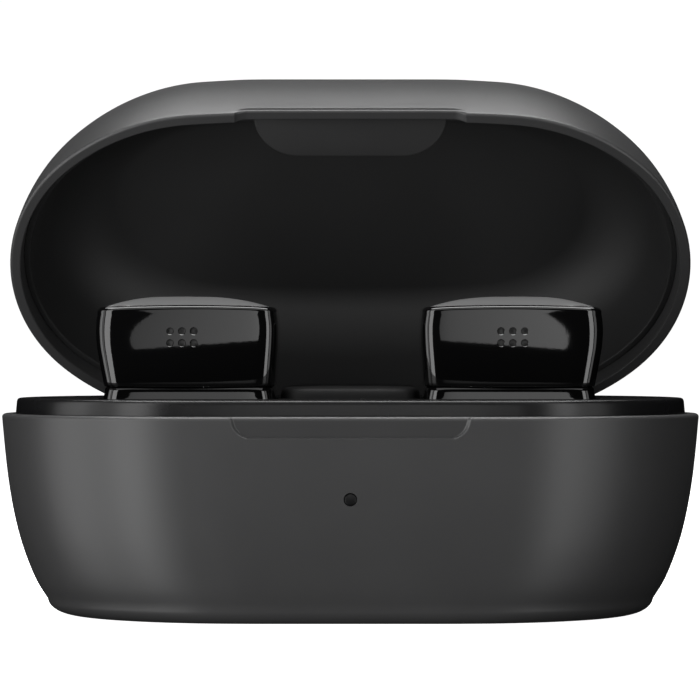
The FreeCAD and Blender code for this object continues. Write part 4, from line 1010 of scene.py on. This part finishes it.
def area(name, yaw, pitch, dist, wide, high, power, target=(0, 0, 0.02), roll=0.0):
    """A softbox; yaw 0 is the front, positive to the right. Sizes in metres."""
    data = bpy.data.lights.new(name, "AREA")
    data.shape = "RECTANGLE"
    data.size, data.size_y = wide, high
    data.energy = power
    obj = bpy.data.objects.new(name, data)
    y, p = math.radians(yaw), math.radians(pitch)
    at = Vector(target) + dist * Vector((math.sin(y) * math.cos(p), -math.cos(y) * math.cos(p), math.sin(p)))
    aim(obj, at, target)
    if roll:
        obj.rotation_quaternion = obj.rotation_quaternion @ Matrix.Rotation(math.radians(roll), 3, "Z").to_quaternion()
    scene.collection.objects.link(obj)
    return obj


LIGHTS = {
    "left_near": ((-64, 2, 0.28, 0.1, 0.36), 0.16),
    "left_mid": ((-40, 2, 0.3, 0.1, 0.36), 0.5),
    "left_side": ((-78, 2, 0.45, 0.16, 0.5), 0.6),
    "left_fill": ((-26, 2, 0.3, 0.12, 0.3), 0.18),
    "right_front": ((38, 2, 0.5, 0.12, 0.5), 0.75),
    "right_side": ((56, 2, 0.5, 0.12, 0.5), 0.28),
    "overhead": ((0, 86, 0.45, 0.5, 0.14, (0, 0.0, 0.04)), 2.4),
    "top_far": ((180, 62, 0.5, 0.5, 0.1, (0, 0.0, 0.05)), 1.55),
    "top_front": ((0, 50, 0.45, 0.5, 0.2, (0, 0.0, 0.04)), 0.45),
}
LAMPS = {}
for name, (where, power) in LIGHTS.items():
    target = where[5] if len(where) > 5 else (0, 0, 0.02)
    LAMPS[name] = area(name, *where[:5], power, target)
LAMPS["left_fill"].visible_glossy = False


def card(name, yaw, pitch, dist, shape, colour_left, colour_right, strength, target=(0, -0.008, 0.028)):
    """A lit panel seen in the gloss; shape is a list of (x, y) points in metres."""
    mesh = bpy.data.meshes.new(name)
    mesh.from_pydata([(x, y, 0) for x, y in shape], [], [tuple(range(len(shape)))])
    obj = bpy.data.objects.new(name, mesh)
    y, p = math.radians(yaw), math.radians(pitch)
    at = Vector(target) + dist * Vector((math.sin(y) * math.cos(p), -math.cos(y) * math.cos(p), math.sin(p)))
    aim(obj, at, target)
    scene.collection.objects.link(obj)
    m = bpy.data.materials.new(name)
    m.use_nodes = True
    t = m.node_tree
    t.nodes.clear()
    out = t.nodes.new("ShaderNodeOutputMaterial")
    em = t.nodes.new("ShaderNodeEmission")
    em.inputs["Strength"].default_value = strength
    coord = t.nodes.new("ShaderNodeTexCoord")
    sep = t.nodes.new("ShaderNodeSeparateXYZ")
    rng = t.nodes.new("ShaderNodeMapRange")
    half = max(x for x, _ in shape)
    rng.inputs["From Min"].default_value = -half
    rng.inputs["From Max"].default_value = half
    rng.inputs["To Min"].default_value = colour_left
    rng.inputs["To Max"].default_value = colour_right
    t.links.new(coord.outputs["Object"], sep.inputs[0])
    t.links.new(sep.outputs["X"], rng.inputs["Value"])
    t.links.new(rng.outputs["Result"], em.inputs["Color"])
    t.links.new(em.outputs[0], out.inputs[0])
    mesh.materials.append(m)
    obj.visible_camera = False
    obj.visible_diffuse = False
    obj.visible_shadow = False
    return obj


# half-round softbox above the camera, cut level along its lower edge
pts = []
for i in range(49):
    t = math.radians(-24 + 228.0 * i / 48)
    pts.append((0.1 * math.cos(t), 0.09 * math.sin(t)))
card("front_card", 0.0, 6.5, 0.42, pts, 0.42, 1.05, 2.1)

# floor and backdrop
bm = bmesh.new()
bmesh.ops.create_grid(bm, x_segments=2, y_segments=2, size=4.0)
mesh = bpy.data.meshes.new("floor")
bm.to_mesh(mesh)
bm.free()
floor = bpy.data.objects.new("floor", mesh)
floor.location = (0, 0, -0.00002)
scene.collection.objects.link(floor)
m, t, b = node_tree("floor_white")
b.inputs["Base Color"].default_value = (0.86, 0.86, 0.86, 1)
b.inputs["Roughness"].default_value = 0.9
b.inputs["Specular IOR Level"].default_value = 0.0
b.inputs["Emission Color"].default_value = (1, 1, 1, 1)
b.inputs["Emission Strength"].default_value = 1.05
mesh.materials.append(m)
floor.visible_diffuse = False
floor.visible_glossy = False
floor.visible_shadow = False

world = bpy.data.worlds.new("studio")
scene.world = world
world.use_nodes = True
t = world.node_tree
t.nodes.clear()
out = t.nodes.new("ShaderNodeOutputWorld")
seen = t.nodes.new("ShaderNodeBackground")
seen.inputs["Color"].default_value = (1, 1, 1, 1)
seen.inputs["Strength"].default_value = 1.05
lit = t.nodes.new("ShaderNodeBackground")
lit.inputs["Color"].default_value = (1, 1, 1, 1)
lit.inputs["Strength"].default_value = 0.0
path = t.nodes.new("ShaderNodeLightPath")
mix = t.nodes.new("ShaderNodeMixShader")
t.links.new(path.outputs["Is Camera Ray"], mix.inputs["Fac"])
t.links.new(lit.outputs[0], mix.inputs[1])
t.links.new(seen.outputs[0], mix.inputs[2])
t.links.new(mix.outputs[0], out.inputs[0])

scene.view_settings.view_transform = "Standard"
scene.view_settings.look = "None"
scene.cycles.use_denoising = True
